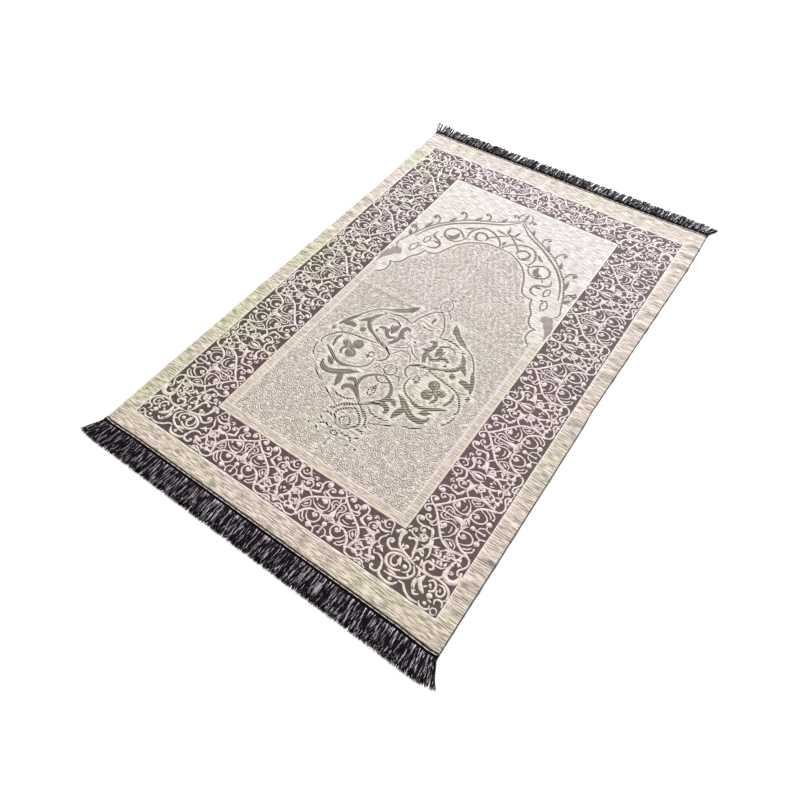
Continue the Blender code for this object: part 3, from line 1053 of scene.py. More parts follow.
@dataclass(frozen=True)
class PaintedLustreAndLight:
    """Painted sheen and painted light over the whole cloth: rose and moss tints that stand in for the yarn's
    lustre, and a tint from warm at the near end to cool at the far end that stands in for how the light
    falls.
    """

    drift_scale: Spot = (7.0, 5.0, 1.0)
    drift_blur: float = 0.12
    rose: Colour = (1.06, 0.99, 1.07)
    rose_above: float = 0.56
    rose_share: float = 0.35
    patch_middle: Place = (-0.02, 0.13)
    patch_fall: Place = (60.0, 55.0)
    patch_share: float = 0.75
    moss: Colour = (0.96, 1.02, 0.90)
    moss_below: float = 0.42
    moss_share: float = 0.5
    left_moss: Colour = (0.93, 1.03, 0.87)
    left_scale: Spot = (4.0, 7.0, 1.0)
    left_edge: float = -0.22
    left_blur: float = 0.10
    painted_near_light: Colour = (1.01, 0.99, 0.955)
    painted_far_light: Colour = (0.99, 1.0, 1.05)

    def over(self, graph: Graph, colour: object, across: Value, along: Value) -> bpy.types.NodeSocket:
        """Returns a colour of the cloth with the painted sheen and the painted light over it."""
        # Painted sheen: rose and moss tints in drifting patches, a rose patch under the arch and moss along
        # the left.
        drift = graph.noise(self.drift_scale, 2.0, 11.0)
        aside = across - self.patch_middle[0]
        beyond = along - self.patch_middle[1]
        patch = (aside * aside * self.patch_fall[0] + beyond * beyond * self.patch_fall[1]).below(0.7, 1.1)
        rose = drift.above(self.rose_above, self.drift_blur) * self.rose_share
        rosy = graph.blend(rose.at_least(patch * self.patch_share), colour, self.rose, Mixing.MULTIPLY)
        left = graph.noise(self.left_scale, 1.0, 17.0).above(0.48, 0.2)
        left = across.below(self.left_edge, self.left_blur) * left
        moss = drift.below(self.moss_below, self.drift_blur) * self.moss_share
        green = graph.blend(left, self.moss, self.left_moss)
        mossy = graph.blend(moss.at_least(left), rosy, green, Mixing.MULTIPLY)
        # Painted light: a warm tint at the near end that turns cool at the far end.
        light = graph.blend(along + 0.5, self.painted_near_light, self.painted_far_light)
        return graph.blend(1.0, mossy, light, Mixing.MULTIPLY)


@dataclass(frozen=True)
class ClothFinish:
    """The cloth's face: cream margins, a dark band and a cream field, in broken streaks that are partly the
    weft's own tone and partly painted light and shade of tiny ripples, with painted sheen across the band.
    """

    zones: Zones
    edge_blur: float = 0.0008
    fade: float = 0.02
    wander: float = 0.0010
    wander_scale: Spot = (30.0, 30.0, 1.0)
    ragged: float = 0.0008
    ragged_scale: Spot = (900.0, 900.0, 1.0)
    yarn_pitch: float = 0.0014
    yarn_weights: Place = (0.4, 0.6)
    weave_level: float = 0.52
    dash_scale: Spot = (56.0, 500.0, 1.0)
    dash_blur: float = 0.07
    light_dashes: Place = (0.455, 0.28)
    dark_dashes: Place = (0.555, 0.46)
    slub_scale: Spot = (120.0, 700.0, 1.0)
    slub_share: float = 0.18
    thread_share: float = 0.10
    field_shades: Place = (0.50, 1.28)
    pale_calm: float = 0.2
    pale_lift: float = 0.14
    medallion_blur: float = 0.05
    arch_blur: float = 0.004
    band_shades: Place = (0.60, 1.50)
    band_streaks: float = 0.7
    # Painted sheen across the band: how steeply and how strongly its ground lightens from left to right.
    band_painted_sheen_slope: float = 1.3
    band_painted_sheen: float = 0.45
    band_flatter: float = 0.4
    hatch_pitch: float = 0.0030
    hatch_scale: Spot = (170.0, 60.0, 1.0)
    hatch_share: float = 0.4
    stripe_weave: float = 0.6
    stripe_lift: float = 0.38
    outer_line: Place = (-0.0004, 0.0020)
    second_line: Place = (0.0030, 0.0010)
    second_share: float = 0.7
    inner_line: Place = (-0.0034, 0.0024)
    inner_faintest: float = 0.6
    inner_strong_from: float = 0.03
    inner_blur: float = 0.04
    guard_line: float = 0.0012
    line_share: float = 0.85
    relief: float = 0.0007
    roughness: float = 0.62
    rougher: float = 0.16
    sheen: float = 0.08
    gloss: float = 0.14

    def within(self, at: Crossing, edges: Rectangle) -> Value:
        """Returns 1 inside a rectangle of the pattern, 0 outside it."""
        across, along = at
        inside = across.size().below(edges.side, self.edge_blur)
        return inside * along.above(edges.near, self.edge_blur) * along.below(edges.far, self.edge_blur)

    def line_round(self, at: Crossing, edges: Rectangle, line: Place) -> Value:
        """Returns the thin line round a rectangle: how far outside it the line runs, and its width."""
        outside, width = line
        outer = self.within(at, edges.grown(outside + width))
        return outer * (1 - self.within(at, edges.grown(outside)))

    def guard_mask(self, at: Crossing) -> Value:
        """Returns 1 on the plain guard stripe that lines the field's sides and its near end."""
        return (1 - self.within(at, self.zones.filled)) * at[1].below(self.zones.guard_end, self.fade)

    def guard_edge(self, at: Crossing) -> Value:
        """Returns the thin pale line along the guard stripe's inner side."""
        across, along = at
        edges = self.zones.filled
        sides = across.size().near(edges.side, self.guard_line, self.edge_blur)
        sides = sides * along.above(edges.near, self.edge_blur)
        end = along.near(edges.near, self.guard_line, self.edge_blur)
        end = end * across.size().below(edges.side, self.edge_blur)
        return sides.at_least(end) * along.below(self.zones.guard_end, self.fade)

    def pale_mask(self, across: Value, along: Value) -> Value:
        """Returns 1 on the paler ground of the medallion and under the arch."""
        zones = self.zones
        below = along - zones.medallion_middle
        wide, long = (1 / half**2 for half in zones.medallion_half)
        medallion = (across * across * wide + below * below * long).below(1.0, self.medallion_blur)
        rise = (along - zones.arch_spring).at_least(0.0)
        arch = (across.size() + rise * rise * zones.arch_curve).below(zones.arch_half, self.arch_blur)
        return medallion.at_least(arch * along.above(zones.guard_end, self.fade))

    def weave(self, graph: Graph, across: Value, along: Value) -> Value:
        """Returns how light the yarn is: light and dark dashes over fine threads and slubs. The dashes are
        partly the weft's own tone and partly painted light and shade of the cloth's tiny ripples.
        """
        dashes = graph.noise(self.dash_scale, 1.5, 13.0)
        slubs = graph.noise(self.slub_scale, 1.0, 7.0).above(0.5, 0.3)
        warp = across.wave(self.yarn_pitch) * self.yarn_weights[0]
        threads = along.wave(self.yarn_pitch) * self.yarn_weights[1] + warp
        light = dashes.below(self.light_dashes[0], self.dash_blur) * self.light_dashes[1]
        dark = dashes.above(self.dark_dashes[0], self.dash_blur) * self.dark_dashes[1]
        return light - dark + self.weave_level + slubs * self.slub_share + threads * self.thread_share

    def ground(self, graph: Graph, weave: Value, across: Value, along: Value) -> bpy.types.NodeSocket:
        """Returns the colour of the field, calmer and paler in the medallion and under the arch."""
        pale = self.pale_mask(across, along)
        calm = weave * (1 - pale * self.pale_calm) + pale * self.pale_lift
        colour = graph.blend(pale, COLOURS.field_ground, COLOURS.lane_ground)
        return graph.shade(colour, calm, *self.field_shades)

    def stripe(self, graph: Graph, weave: Value, along: Value) -> bpy.types.NodeSocket:
        """Returns the colour of the guard stripe, hatched across with short fine lines."""
        short = graph.noise(self.hatch_scale, 1.0, 19.0).above(0.40, 0.2)
        hatch = along.wave(self.hatch_pitch).above(0.62, 0.4) * short
        calm = weave * self.stripe_weave + self.stripe_lift
        plain = graph.blend(calm, COLOURS.cream_shadow, COLOURS.cream)
        return graph.blend(hatch * self.hatch_share, plain, COLOURS.cream_shadow)

    def pale_lines(self, at: Crossing, field: Value) -> Value:
        """Returns the thin pale lines along the band's two outlines and the guard stripe."""
        outer = self.line_round(at, self.zones.outer, self.outer_line)
        second = self.line_round(at, self.zones.outer, self.second_line)
        inner = self.line_round(at, self.zones.inner, self.inner_line)
        strong = at[1].above(self.inner_strong_from, self.inner_blur) * (1 - self.inner_faintest)
        inner = inner * (self.inner_faintest + strong)
        lines = outer.at_least(inner).at_least(second * self.second_share)
        return lines.at_least(self.guard_edge(at) * field)

    def build(self) -> bpy.types.Material:
        """Returns the material."""
        graph = Graph("woven_face")
        across, along = graph.across_along()
        wander = (graph.noise(self.wander_scale, 1.0, 3.0) - 0.5) * self.wander
        ragged = (graph.noise(self.ragged_scale, 0.0, 5.0) - 0.5) * self.ragged
        at = (across + wander, along + wander + ragged)
        field = self.within(at, self.zones.inner)
        band = self.within(at, self.zones.outer) * (1 - field)
        guard = self.guard_mask(at) * field

        weave = self.weave(graph, across, along)
        margin = graph.blend(weave, COLOURS.cream_shadow, COLOURS.cream)
        colour = graph.blend(field * (1 - guard), margin, self.ground(graph, weave, across, along))
        colour = graph.blend(guard, colour, self.stripe(graph, weave, along))
        # The band's ground: its weft streaks, and painted sheen that makes it darker on the left and lighter
        # on the right.
        streaks_and_painted_sheen = weave * self.band_streaks + (across * self.band_painted_sheen_slope + 0.5) * self.band_painted_sheen
        dark = graph.shade(COLOURS.band_ground, streaks_and_painted_sheen, *self.band_shades)
        colour = graph.blend(band, colour, dark)
        colour = graph.blend(self.pale_lines(at, field) * self.line_share, colour, COLOURS.pale_line)
        colour = PaintedLustreAndLight().over(graph, colour, across, along)
        height = weave * (1 - band * self.band_flatter)
        roughness = self.roughness + weave * self.rougher
        graph.finish(colour, roughness, height, self.relief, self.sheen, self.gloss)
        return graph.material


@dataclass(frozen=True)
class RaisedFinish:
    """A raised line of yarn: one colour, with the streaks of the weft and slanting gaps across it."""

    name: str
    light: Colour
    shadow: Colour
    sheen: float = 0.2
    gloss: float = 0.3
    gap_pitch: float = 0.0
    gap_share: float = 0.0
    gap_blur: float = 0.24
    gap_slant: Place = (0.54, 0.84)
    gap_wander: float = 0.0016
    gap_scale: Spot = (60.0, 60.0, 1.0)
    gap_colour: Colour = (0.6, 0.53, 0.45)
    streak_scale: Spot = (110.0, 300.0, 1.0)
    streak_share: float = 0.6
    thread_pitch: float = 0.0011
    roughness: float = 0.6
    rougher: float = 0.15
    relief: float = 0.0002

    def build(self) -> bpy.types.Material:
        """Returns the material."""
        graph = Graph(self.name)
        across, along = graph.across_along()
        streaks = graph.noise(self.streak_scale, 1.0, 2.0).above(0.5, 0.25)
        weave = streaks * self.streak_share + along.wave(self.thread_pitch) * (1 - self.streak_share)
        colour = graph.blend(weave, self.shadow, self.light)
        if self.gap_pitch:
            wander = (graph.noise(self.gap_scale, 1.0, 9.0) - 0.5) * self.gap_wander
            slanted = along * self.gap_slant[1] - across.size() * self.gap_slant[0]
            rows = (slanted + wander).wave(self.gap_pitch)
            colour = graph.blend(rows.above(self.gap_share, self.gap_blur), colour, self.gap_colour)
        colour = PaintedLustreAndLight().over(graph, colour, across, along)
        roughness = self.roughness + weave * self.rougher
        graph.finish(colour, roughness, weave, self.relief, self.sheen, self.gloss)
        return graph.material


@dataclass(frozen=True)
class FringeFinish:
    """Twisted yarn, near black, with grey and lilac painted highlights along some of the yarns and their
    twist.
    """

    name: str
    lit_from: float
    twist_pitch: float = 0.0026
    twist_slant: float = 0.8
    patch_scale: Spot = (300.0, 55.0, 1.0)
    tone_scale: Spot = (18.0, 18.0, 1.0)
    twist_share: float = 0.35
    roughness: float = 0.6
    rougher: float = 0.2
    relief: float = 0.0004
    gloss: float = 0.05

    def build(self) -> bpy.types.Material:
        """Returns the material."""
        graph = Graph(self.name)
        across, along = graph.across_along()
        twist = (along + across * self.twist_slant).wave(self.twist_pitch)
        own = Value(graph, graph.node("ShaderNodeAttribute", {"attribute_name": "tone"}).outputs["Fac"])
        patches = graph.noise(self.patch_scale, 1.0, 4.0).above(0.50, 0.16)
        turned = 1 - self.twist_share + twist * self.twist_share
        # Painted highlights: the yarns whose tone is high enough are lightened in patches and along their
        # twist.
        lit = own.above(self.lit_from, 0.12) * patches * turned
        tone = graph.noise(self.tone_scale, 2.0, 8.0)
        light = graph.blend(tone, COLOURS.fringe_painted_highlight_dim, COLOURS.fringe_painted_highlight)
        colour = graph.blend(lit, COLOURS.fringe_dark, light)
        graph.finish(colour, self.roughness + twist * self.rougher, twist, self.relief, 0.0, self.gloss)
        return graph.material


@dataclass(frozen=True)
class PlainFinish:
    """A small part of one yarn colour with a fine thread relief."""

    name: str
    colour: Colour
    shadow: Colour
    gloss: float = 0.2
    thread_pitch: float = 0.0016
    speckle_scale: Spot = (500.0, 500.0, 500.0)
    roughness: float = 0.65
    rougher: float = 0.15
    relief: float = 0.0003

    def build(self) -> bpy.types.Material:
        """Returns the material."""
        graph = Graph(self.name)
        across, along = graph.across_along()
        threads = (across + along * 0.5).wave(self.thread_pitch)
        speckle = graph.noise(self.speckle_scale, 2.0, 6.0)
        colour = graph.blend(threads * 0.5 + speckle * 0.5, self.shadow, self.colour)
        roughness = self.roughness + speckle * self.rougher
        graph.finish(colour, roughness, threads, self.relief, 0.0, self.gloss)
        return graph.material


# Making pieces


def only(obj: bpy.types.Object) -> None:
    """Selects one object and makes it the active one."""
    bpy.ops.object.select_all(action="DESELECT")
    obj.select_set(True)
    bpy.context.view_layer.objects.active = obj


def named(name: str) -> bpy.types.Object:
    """Names the object that was made last, and its data, and returns it."""
    piece = bpy.context.active_object
    piece.name = piece.data.name = name
    return piece


def corners(mesh: bpy.types.Mesh) -> np.ndarray:
    """Returns the places of a mesh's points, one row each."""
    flat = np.empty(len(mesh.vertices) * 3)
    mesh.vertices.foreach_get("co", flat)
    return flat.reshape(-1, 3)


def move_corners(mesh: bpy.types.Mesh, places: np.ndarray) -> None:
    """Moves a mesh's points to these places."""
    mesh.vertices.foreach_set("co", places.ravel())
    mesh.update()


def slab(name: str, columns: int, rows: int) -> tuple[bpy.types.Object, np.ndarray]:
    """Makes a flat grid with a face and a reverse, whose points are moved into place afterwards.

    Args:
        name: the piece's name.
        columns: how many cells it has across.
        rows: how many cells it has along.

    Returns:
        The piece, and for each point its share of the way across, of the way along, and 1 on the face
        or 0 on the reverse.
    """
    bpy.ops.mesh.primitive_grid_add(x_subdivisions=columns, y_subdivisions=rows, size=1.0)
    piece = named(name)
    bpy.ops.object.mode_set(mode="EDIT")
    bpy.ops.mesh.select_all(action="SELECT")
    bpy.ops.mesh.extrude_region_move(TRANSFORM_OT_translate={"value": (0.0, 0.0, 1.0)})
    bpy.ops.object.mode_set(mode="OBJECT")
    return piece, corners(piece.data) + np.array([0.5, 0.5, 0.0])


def blank_curve(name: str) -> bpy.types.Object:
    """Returns a 3-D curve with closed ends and no lines yet."""
    bpy.ops.curve.primitive_bezier_curve_add()
    piece = named(name)
    piece.data.splines.clear()
    piece.data.dimensions = "3D"
    piece.data.use_fill_caps = True
    return piece


def add_line(curve: bpy.types.Curve, places: np.ndarray, radii: np.ndarray) -> None:
    """Adds a line to a curve: its places and, at each of them, its radius."""
    spline = curve.splines.new("POLY")
    spline.points.add(len(places) - 1)
    spline.points.foreach_set("co", np.column_stack([places, np.ones(len(places))]).ravel())
    spline.points.foreach_set("radius", radii)


def as_mesh(piece: bpy.types.Object) -> bpy.types.Mesh:
    """Turns a curve into a mesh."""
    only(piece)
    bpy.ops.object.convert(target="MESH")
    return piece.data


def finished(piece: bpy.types.Object, crisp_from: float, *materials: bpy.types.Material) -> None:
    """Merges a piece's doubled points, turns its faces outwards, shades it smooth and dresses it.

    Args:
        piece: the piece.
        crisp_from: the angle in degrees from which an edge stays crisp.
        materials: its materials, the first of which covers all of it.
    """
    only(piece)
    bpy.ops.object.mode_set(mode="EDIT")
    bpy.ops.mesh.select_all(action="SELECT")
    bpy.ops.mesh.remove_doubles(threshold=0.000002)
    bpy.ops.mesh.normals_make_consistent(inside=False)
    bpy.ops.object.mode_set(mode="OBJECT")
    bpy.ops.object.shade_smooth_by_angle(angle=math.radians(crisp_from))
    piece.data.materials.clear()
    for material in materials:
        piece.data.materials.append(material)
    LOG.info("%s: %d faces", piece.name, len(piece.data.polygons))


def declared(piece: bpy.types.Object, slot: str, *replaced: str) -> bpy.types.Object:
    """Makes a piece ride on the rug's one body, and hides the solids that it stands for.

    Args:
        piece: the piece.
        slot: not used.
        replaced: the solids that the piece stands for.

    Returns:
        The piece.
    """
    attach(piece, "root")
    if replaced:
        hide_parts(*replaced)
    return piece


class Profile(Enum):
    """The section of a raised line: its points across and up, for half a width of 1."""

    PADDED = ((-1.0, -1.0), (-0.62, 1.0), (0.62, 1.0), (1.0, -1.0))
    RIDGE = ((-1.0, -1.0), (0.0, 1.0), (1.0, -1.0))


@dataclass
class RaisedWork:
    """Strokes of yarn that stand a little proud of the cloth, made as one piece."""

    form: RugForm
    name: str
    finish: RaisedFinish
    relief: float
    profile: Profile = Profile.PADDED
    sunk: float = 0.00035
    levels: int = 7
    level_step: float = 0.000018
    shelf: float = 0.1
    crisp_from: float = 50.0

    def section(self) -> bpy.types.Object:
        """Returns the guide curve that gives the strokes their section."""
        bpy.ops.curve.primitive_bezier_circle_add(radius=1.0)
        guide = bpy.context.active_object
        guide.data.splines.clear()
        spline = guide.data.splines.new("POLY")
        spline.points.add(len(self.profile.value) - 1)
        for point, (across, up) in zip(spline.points, self.profile.value):
            point.co = (across, up, 0.0, 1.0)
        spline.use_cyclic_u = True
        return guide

    def build(self, strokes: Iterable[Stroke]) -> bpy.types.Object:
        """Returns the piece that these strokes make, given in metres on the flat cut."""
        guide = self.section()
        piece = blank_curve(self.name)
        piece.data.twist_mode = "Z_UP"
        piece.data.bevel_mode = "OBJECT"
        piece.data.bevel_object = guide
        for index, stroke in enumerate(strokes):
            level = np.full(len(stroke.points), self.shelf * (index % self.levels))
            add_line(piece.data, np.column_stack([stroke.points, level]), stroke.halves)
        self.lay(as_mesh(piece))
        bpy.data.objects.remove(guide)
        finished(piece, self.crisp_from, self.finish.build())
        return declared(piece, "woven_cloth")

    def lay(self, mesh: bpy.types.Mesh) -> None:
        """Lays the strokes on the face of the cloth, crossing strokes at slightly different heights."""
        across, along, height = corners(mesh).T
        level = np.rint(height / self.shelf)
        raised = height > level * self.shelf
        above = np.where(raised, self.relief + level * self.level_step, -self.sunk)
        x, y = self.form.outline(across, along)
        move_corners(mesh, np.column_stack([x, y, self.form.top(across, along) + above]))


Mapping = Callable[[np.ndarray], np.ndarray]


def on_rug(points: np.ndarray) -> np.ndarray:
    """Returns places of the field's chart in metres."""
    return points * MM


def placed(strokes: Iterable[Stroke], scale: float, where: Mapping = on_rug) -> list[Stroke]:
    """Moves strokes from their chart to the cloth.

    Args:
        strokes: strokes in the chart's millimetres.
        scale: how much wider or narrower the strokes become.
        where: turns places of the chart into metres on the flat cut.

    Returns:
        The moved strokes.
    """
    return [Stroke(where(stroke.points), stroke.halves * scale * MM) for stroke in strokes]


@dataclass
class BorderBand:
    """The dark band's vines: domes along each side with joins between them, and four corners."""

    form: RugForm
    zones: Zones
    end_pitch: float = 0.183
    side_pitch: float = 0.1625
    side_middle: float = -0.006
    chart_pitch: float = 183.0
    chart_depth: float = 87.0
    end_fullness: float = 1.06
    side_fullness: float = 0.98
    relief: float = 0.00060

    def along_end(self, outward: int, middle: float, hand: int = 1) -> tuple[float, Mapping]:
        """Returns how a chart is placed on the band of one end.

        Args:
            outward: -1 for the near end, +1 for the far end.
            middle: where the chart's middle line stands across the rug.
            hand: -1 turns the chart left for right.

        Returns:
            The change of the strokes' widths and the mapping.
        """
        outer = self.zones.outer.end(outward)
        deep = (self.zones.inner.end(outward) - outer) / self.chart_depth
        wide = self.end_pitch / self.chart_pitch

        def where(points: np.ndarray) -> np.ndarray:
            """Returns places of the chart on the band."""
            return np.column_stack([middle + hand * points[:, 0] * wide, outer + points[:, 1] * deep])

        return 0.5 * (abs(deep) + wide) / MM * self.end_fullness, where

    def along_side(self, side: int, middle: float) -> tuple[float, Mapping]:
        """Returns how a chart is placed on the left (-1) or the right (+1) side's band."""
        outer = side * self.zones.outer.side
        deep = side * (self.zones.inner.side - self.zones.outer.side) / self.chart_depth
        wide = self.side_pitch / self.chart_pitch

        def where(points: np.ndarray) -> np.ndarray:
            """Returns places of the chart on the band."""
            return np.column_stack([outer + points[:, 1] * deep, middle + points[:, 0] * wide])

        return 0.5 * (abs(deep) + wide) / MM * self.side_fullness, where

    def corner(self, side: int, outward: int) -> tuple[float, Mapping]:
        """Returns how the corner's chart is placed on one corner of the band."""
        outer = self.zones.outer.end(outward)
        squeeze = abs(outer - self.zones.inner.end(outward)) / (self.chart_depth * MM)

        def where(points: np.ndarray) -> np.ndarray:
            """Returns places of the chart on the band."""
            x = side * (self.zones.outer.side - points[:, 0] * MM)
            return np.column_stack([x, outer - outward * points[:, 1] * MM * squeeze])

        return 0.5 * (1 + squeeze) * self.end_fullness, where

    def build(self) -> list[bpy.types.Object]:
        """Returns the four pieces of the band's vines: near, far, left and right."""
        dome = drawn(DOME_PAIRS, DOME_SINGLE)
        join = drawn(JOIN_PAIRS, JOIN_SINGLE)
        half_join = worked(JOIN_PAIRS)
        corner = worked(CORNER)
        work: dict[str, list[Stroke]] = {}
        for outward, name in ((-1, "near"), (1, "far")):
            strokes = work[name] = []
            for step in (-0.5, 0.5):
                strokes += placed(dome, *self.along_end(outward, step * self.end_pitch))
            strokes += placed(join, *self.along_end(outward, 0.0))
            for side in (-1, 1):
                strokes += placed(half_join, *self.along_end(outward, side * self.end_pitch, side))
                strokes += placed(corner, *self.corner(side, outward))
        for side, name in ((-1, "left"), (1, "right")):
            strokes = work[name] = []
            for chart, steps in ((dome, (-2, -1, 0, 1, 2)), (join, (-1.5, -0.5, 0.5, 1.5))):
                for step in steps:
                    middle = self.side_middle + step * self.side_pitch
                    strokes += placed(chart, *self.along_side(side, middle))
        finish = RaisedFinish("vine_yarn", COLOURS.vine, COLOURS.vine_shadow, 0.1, 0.15)
        return [
            RaisedWork(self.form, f"border_vines_{name}", finish, self.relief).build(strokes)
            for name, strokes in work.items()
        ]


class FreeRoom:
    """Which places of the field are still free, on a grid of whole millimetres."""

    SIZE = (480, 960)
    MIDDLE = np.array([240, 480])

    def __init__(self) -> None:
        """Starts with all the room free."""
        self.taken = np.zeros(self.SIZE, bool)

    def free(self, points: np.ndarray) -> bool:
        """Returns whether all of these places are free."""
        cells = np.rint(points).astype(int) + self.MIDDLE
        return not self.taken[cells[..., 0], cells[..., 1]].any()

    def left(self, side: float, near: float, far: float) -> list[np.ndarray]:
        """Returns the free places within the sides and between the two ends."""
        places = np.argwhere(~self.taken) - self.MIDDLE
        inside = (np.abs(places[:, 0]) < side) & (places[:, 1] > near) & (places[:, 1] < far)
        return list(places[inside])

    def take(self, points: np.ndarray, reach: float) -> None:
        """Takes the room within the reach of these places."""
        span = range(-math.ceil(reach), math.ceil(reach) + 1)
        disc = np.array([(i, j) for i in span for j in span if math.hypot(i, j) <= reach])
        cells = (np.rint(points).astype(int) + self.MIDDLE)[:, None, :] + disc[None, :, :]
        self.taken[cells[..., 0], cells[..., 1]] = True


@dataclass
class FieldPattern:
    """The arch, the medallion and the small curls and dashes that fill the field."""

    form: RugForm
    zones: Zones
    seed: int = 7
    scroll_gap: float = 13.2
    row_gap: float = 0.87
    scroll_jitter: float = 0.9
    scroll_radius: float = 4.5
    scroll_sizes: Place = (0.85, 1.15)
    scroll_turns: float = 1.2
    scroll_points: int = 12
    scroll_wind: Place = (1.3, 0.95)
    scroll_width: float = 2.2
    scroll_room: float = 3.1
    scroll_far: float = 240.0
    scroll_split: float = -130.0
    scroll_relief: float = 0.00050
    dash_lengths: tuple[Place, ...] = ((8.0, 13.0), (4.5, 7.0), (2.6, 3.8))
    dash_turn: float = 16.0
    dash_bow: float = 0.12
    # Painted shadow round the field's curls and dashes: its width and its low relief.
    painted_shadow_width: float = 5.2
    painted_shadow_relief: float = 0.00007
    edge_room: float = 3.0
    line_room: float = 2.0
    lane_along: tuple[float, ...] = (33, 78, 98, 143, 165, 199, 224, 237)
    lane_across: tuple[float, ...] = (173, 156, 140, 114, 89, 73, 46, -4)
    foot_fullness: float = 1.12
    arch_fullness: float = 2.1
    line_fullness: float = 1.85
    fill_fullness: float = 1.28
    line_relief: float = 0.00020
    vein_relief: float = 0.00045

    def dark(self, name: str, gap_pitch: float, gap_share: float) -> RaisedFinish:
        """Returns the finish of dark work with gaps at this pitch and of this share."""
        return RaisedFinish(name, COLOURS.dark_yarn, COLOURS.dark_shadow, 0.0, 0.06, gap_pitch, gap_share)

    def lines(self) -> list[bpy.types.Object]:
        """Returns the dark lines and the dark fills of the arch and the medallion, and the fills' veins."""
        line = self.dark("line_yarn", 0.0045, 0.74)
        fill = self.dark("fill_yarn", 0.0034, 0.80)
        foot = RaisedFinish("foot_yarn", COLOURS.foot_yarn, COLOURS.foot_shadow, 0.0, 0.06, 0.0030, 0.80)
        vein = RaisedFinish("vein_yarn", COLOURS.cream, COLOURS.cream_shadow, 0.1)
        low = self.line_relief
        rows = (
            ("arch_feet", ARCH_FEET, (), foot, self.foot_fullness, low),
            ("arch_lines", ARCH_LINES, (), line, self.arch_fullness, low),
            ("arch_fills", ARCH_FILLS, ARCH_MIDDLE, fill, self.fill_fullness, low),
            ("medallion_lines", MEDALLION_LINES, MEDALLION_MIDDLE, line, self.line_fullness, low),
            ("medallion_fills", MEDALLION_FILLS, (), fill, self.fill_fullness, low),
            ("medallion_veins", MEDALLION_VEINS, (), vein, 1.0, self.vein_relief),
        )
        return [
            RaisedWork(self.form, name, finish, relief).build(placed(drawn(pairs, middle), fullness))
            for name, pairs, middle, finish, fullness, relief in rows
        ]

    def plain(self, points: np.ndarray) -> bool:
        """Returns whether any of these places of the chart lies past the edges of the filled ground."""
        across, along = np.abs(points[:, 0]), points[:, 1]
        side = self.zones.filled.side / MM - self.edge_room
        near = self.zones.filled.near / MM + self.edge_room
        lane = np.interp(along, self.lane_along, self.lane_across)
        past_arch = (along > self.lane_along[0]) & (across > lane)
        return bool(np.any((across > side) | (along < near) | past_arch))

    def in_medallion(self, points: np.ndarray) -> bool:
        """Returns whether any of these places lies in the medallion, whose ground has dashes and no curls."""
        wide, long = (half / MM for half in self.zones.medallion_half)
        below = points[:, 1] - self.zones.medallion_middle / MM
        return bool(np.any((points[:, 0] / wide) ** 2 + (below / long) ** 2 < 1))

    def open_room(self) -> FreeRoom:
        """Returns the room that the arch and the medallion leave."""
        room = FreeRoom()
        for pairs, single, fullness in (
            (ARCH_LINES, ARCH_MIDDLE, self.arch_fullness),
            (MEDALLION_LINES, MEDALLION_MIDDLE, self.line_fullness),
            (MEDALLION_FILLS, (), self.fill_fullness),
        ):
            for stroke in drawn(pairs, single):
                room.take(stroke.points, stroke.halves.max() * fullness + self.line_room)
        return room

    def scrolls(self) -> list[Stroke]:
        """Returns the small curls of the field, and the short dashes that fill the room between them."""
        rng = random.Random(self.seed)
        room = self.open_room()
        side = self.zones.inner.side / MM
        near = self.zones.inner.near / MM
        strokes: list[Stroke] = []
        for row, along in enumerate(np.arange(near, self.scroll_far, self.row_gap * self.scroll_gap)):
            for across in np.arange(-side, side, self.scroll_gap) + 0.5 * self.scroll_gap * (row % 2):
                jitter = [self.scroll_jitter * rng.uniform(-1, 1) for _ in range(2)]
                scroll = self.scroll(rng, (across + jitter[0], along + jitter[1]))
                outside = self.plain(scroll.points) or self.in_medallion(scroll.points)
                if not outside and room.free(scroll.points):
                    strokes.append(scroll)
                    room.take(scroll.points, self.scroll_room)
        curls = len(strokes)
        for shortest, longest in self.dash_lengths:
            places = room.left(side, near, self.scroll_far)
            rng.shuffle(places)
            for at in places:
                if not room.free(at):
                    continue
                points = self.dash(rng, rng.uniform(shortest, longest)) + at
                if room.free(points) and not self.plain(points):
                    strokes.append(Motif.tapered(points, self.scroll_width, 0.6, 0.5))
                    room.take(points, self.scroll_room)
        LOG.info("field: %d curls and %d dashes", curls, len(strokes) - curls)
        return strokes

    def scroll(self, rng: random.Random, at: Place) -> Stroke:
        """Returns one small curl that winds inwards from its tail, turned and handed at random."""
        hand = rng.choice((-1, 1))
        first = rng.uniform(0, 2 * math.pi)
        size = rng.uniform(*self.scroll_sizes)
        turns = np.linspace(0.0, self.scroll_turns * size, self.scroll_points)
        widest, drawn_in = self.scroll_wind
        away = self.scroll_radius * size * (widest - drawn_in * turns / turns[-1])
        angle = first + hand * 2 * math.pi * turns
        points = np.column_stack([at[0] + away * np.cos(angle), at[1] + away * np.sin(angle)])
        return Motif.tapered(smooth_path(points, Motif.STEP), self.scroll_width, 0.5, 0.8)

    def dash(self, rng: random.Random, length: float) -> np.ndarray:
        """Returns the points of a short dash along the weft, a little turned and bowed, about its middle."""
        share = np.linspace(-0.5, 0.5, 4)
        turn = math.radians(rng.gauss(0, self.dash_turn))
        along = share * length
        up = (1 - 4 * share**2) * rng.uniform(-self.dash_bow, self.dash_bow) * length
        cos, sin = math.cos(turn), math.sin(turn)
        return np.column_stack([along * cos - up * sin, along * sin + up * cos])

    def scroll_work(self) -> list[bpy.types.Object]:
        """Returns the field's curls and dashes: raised cream yarn, with a wider, darker, sunk copy under each
        that is painted shadow of the relief.
        """
        light = RaisedFinish("field_yarn", COLOURS.field_yarn, COLOURS.field_yarn_shadow, 0.1, 0.15)
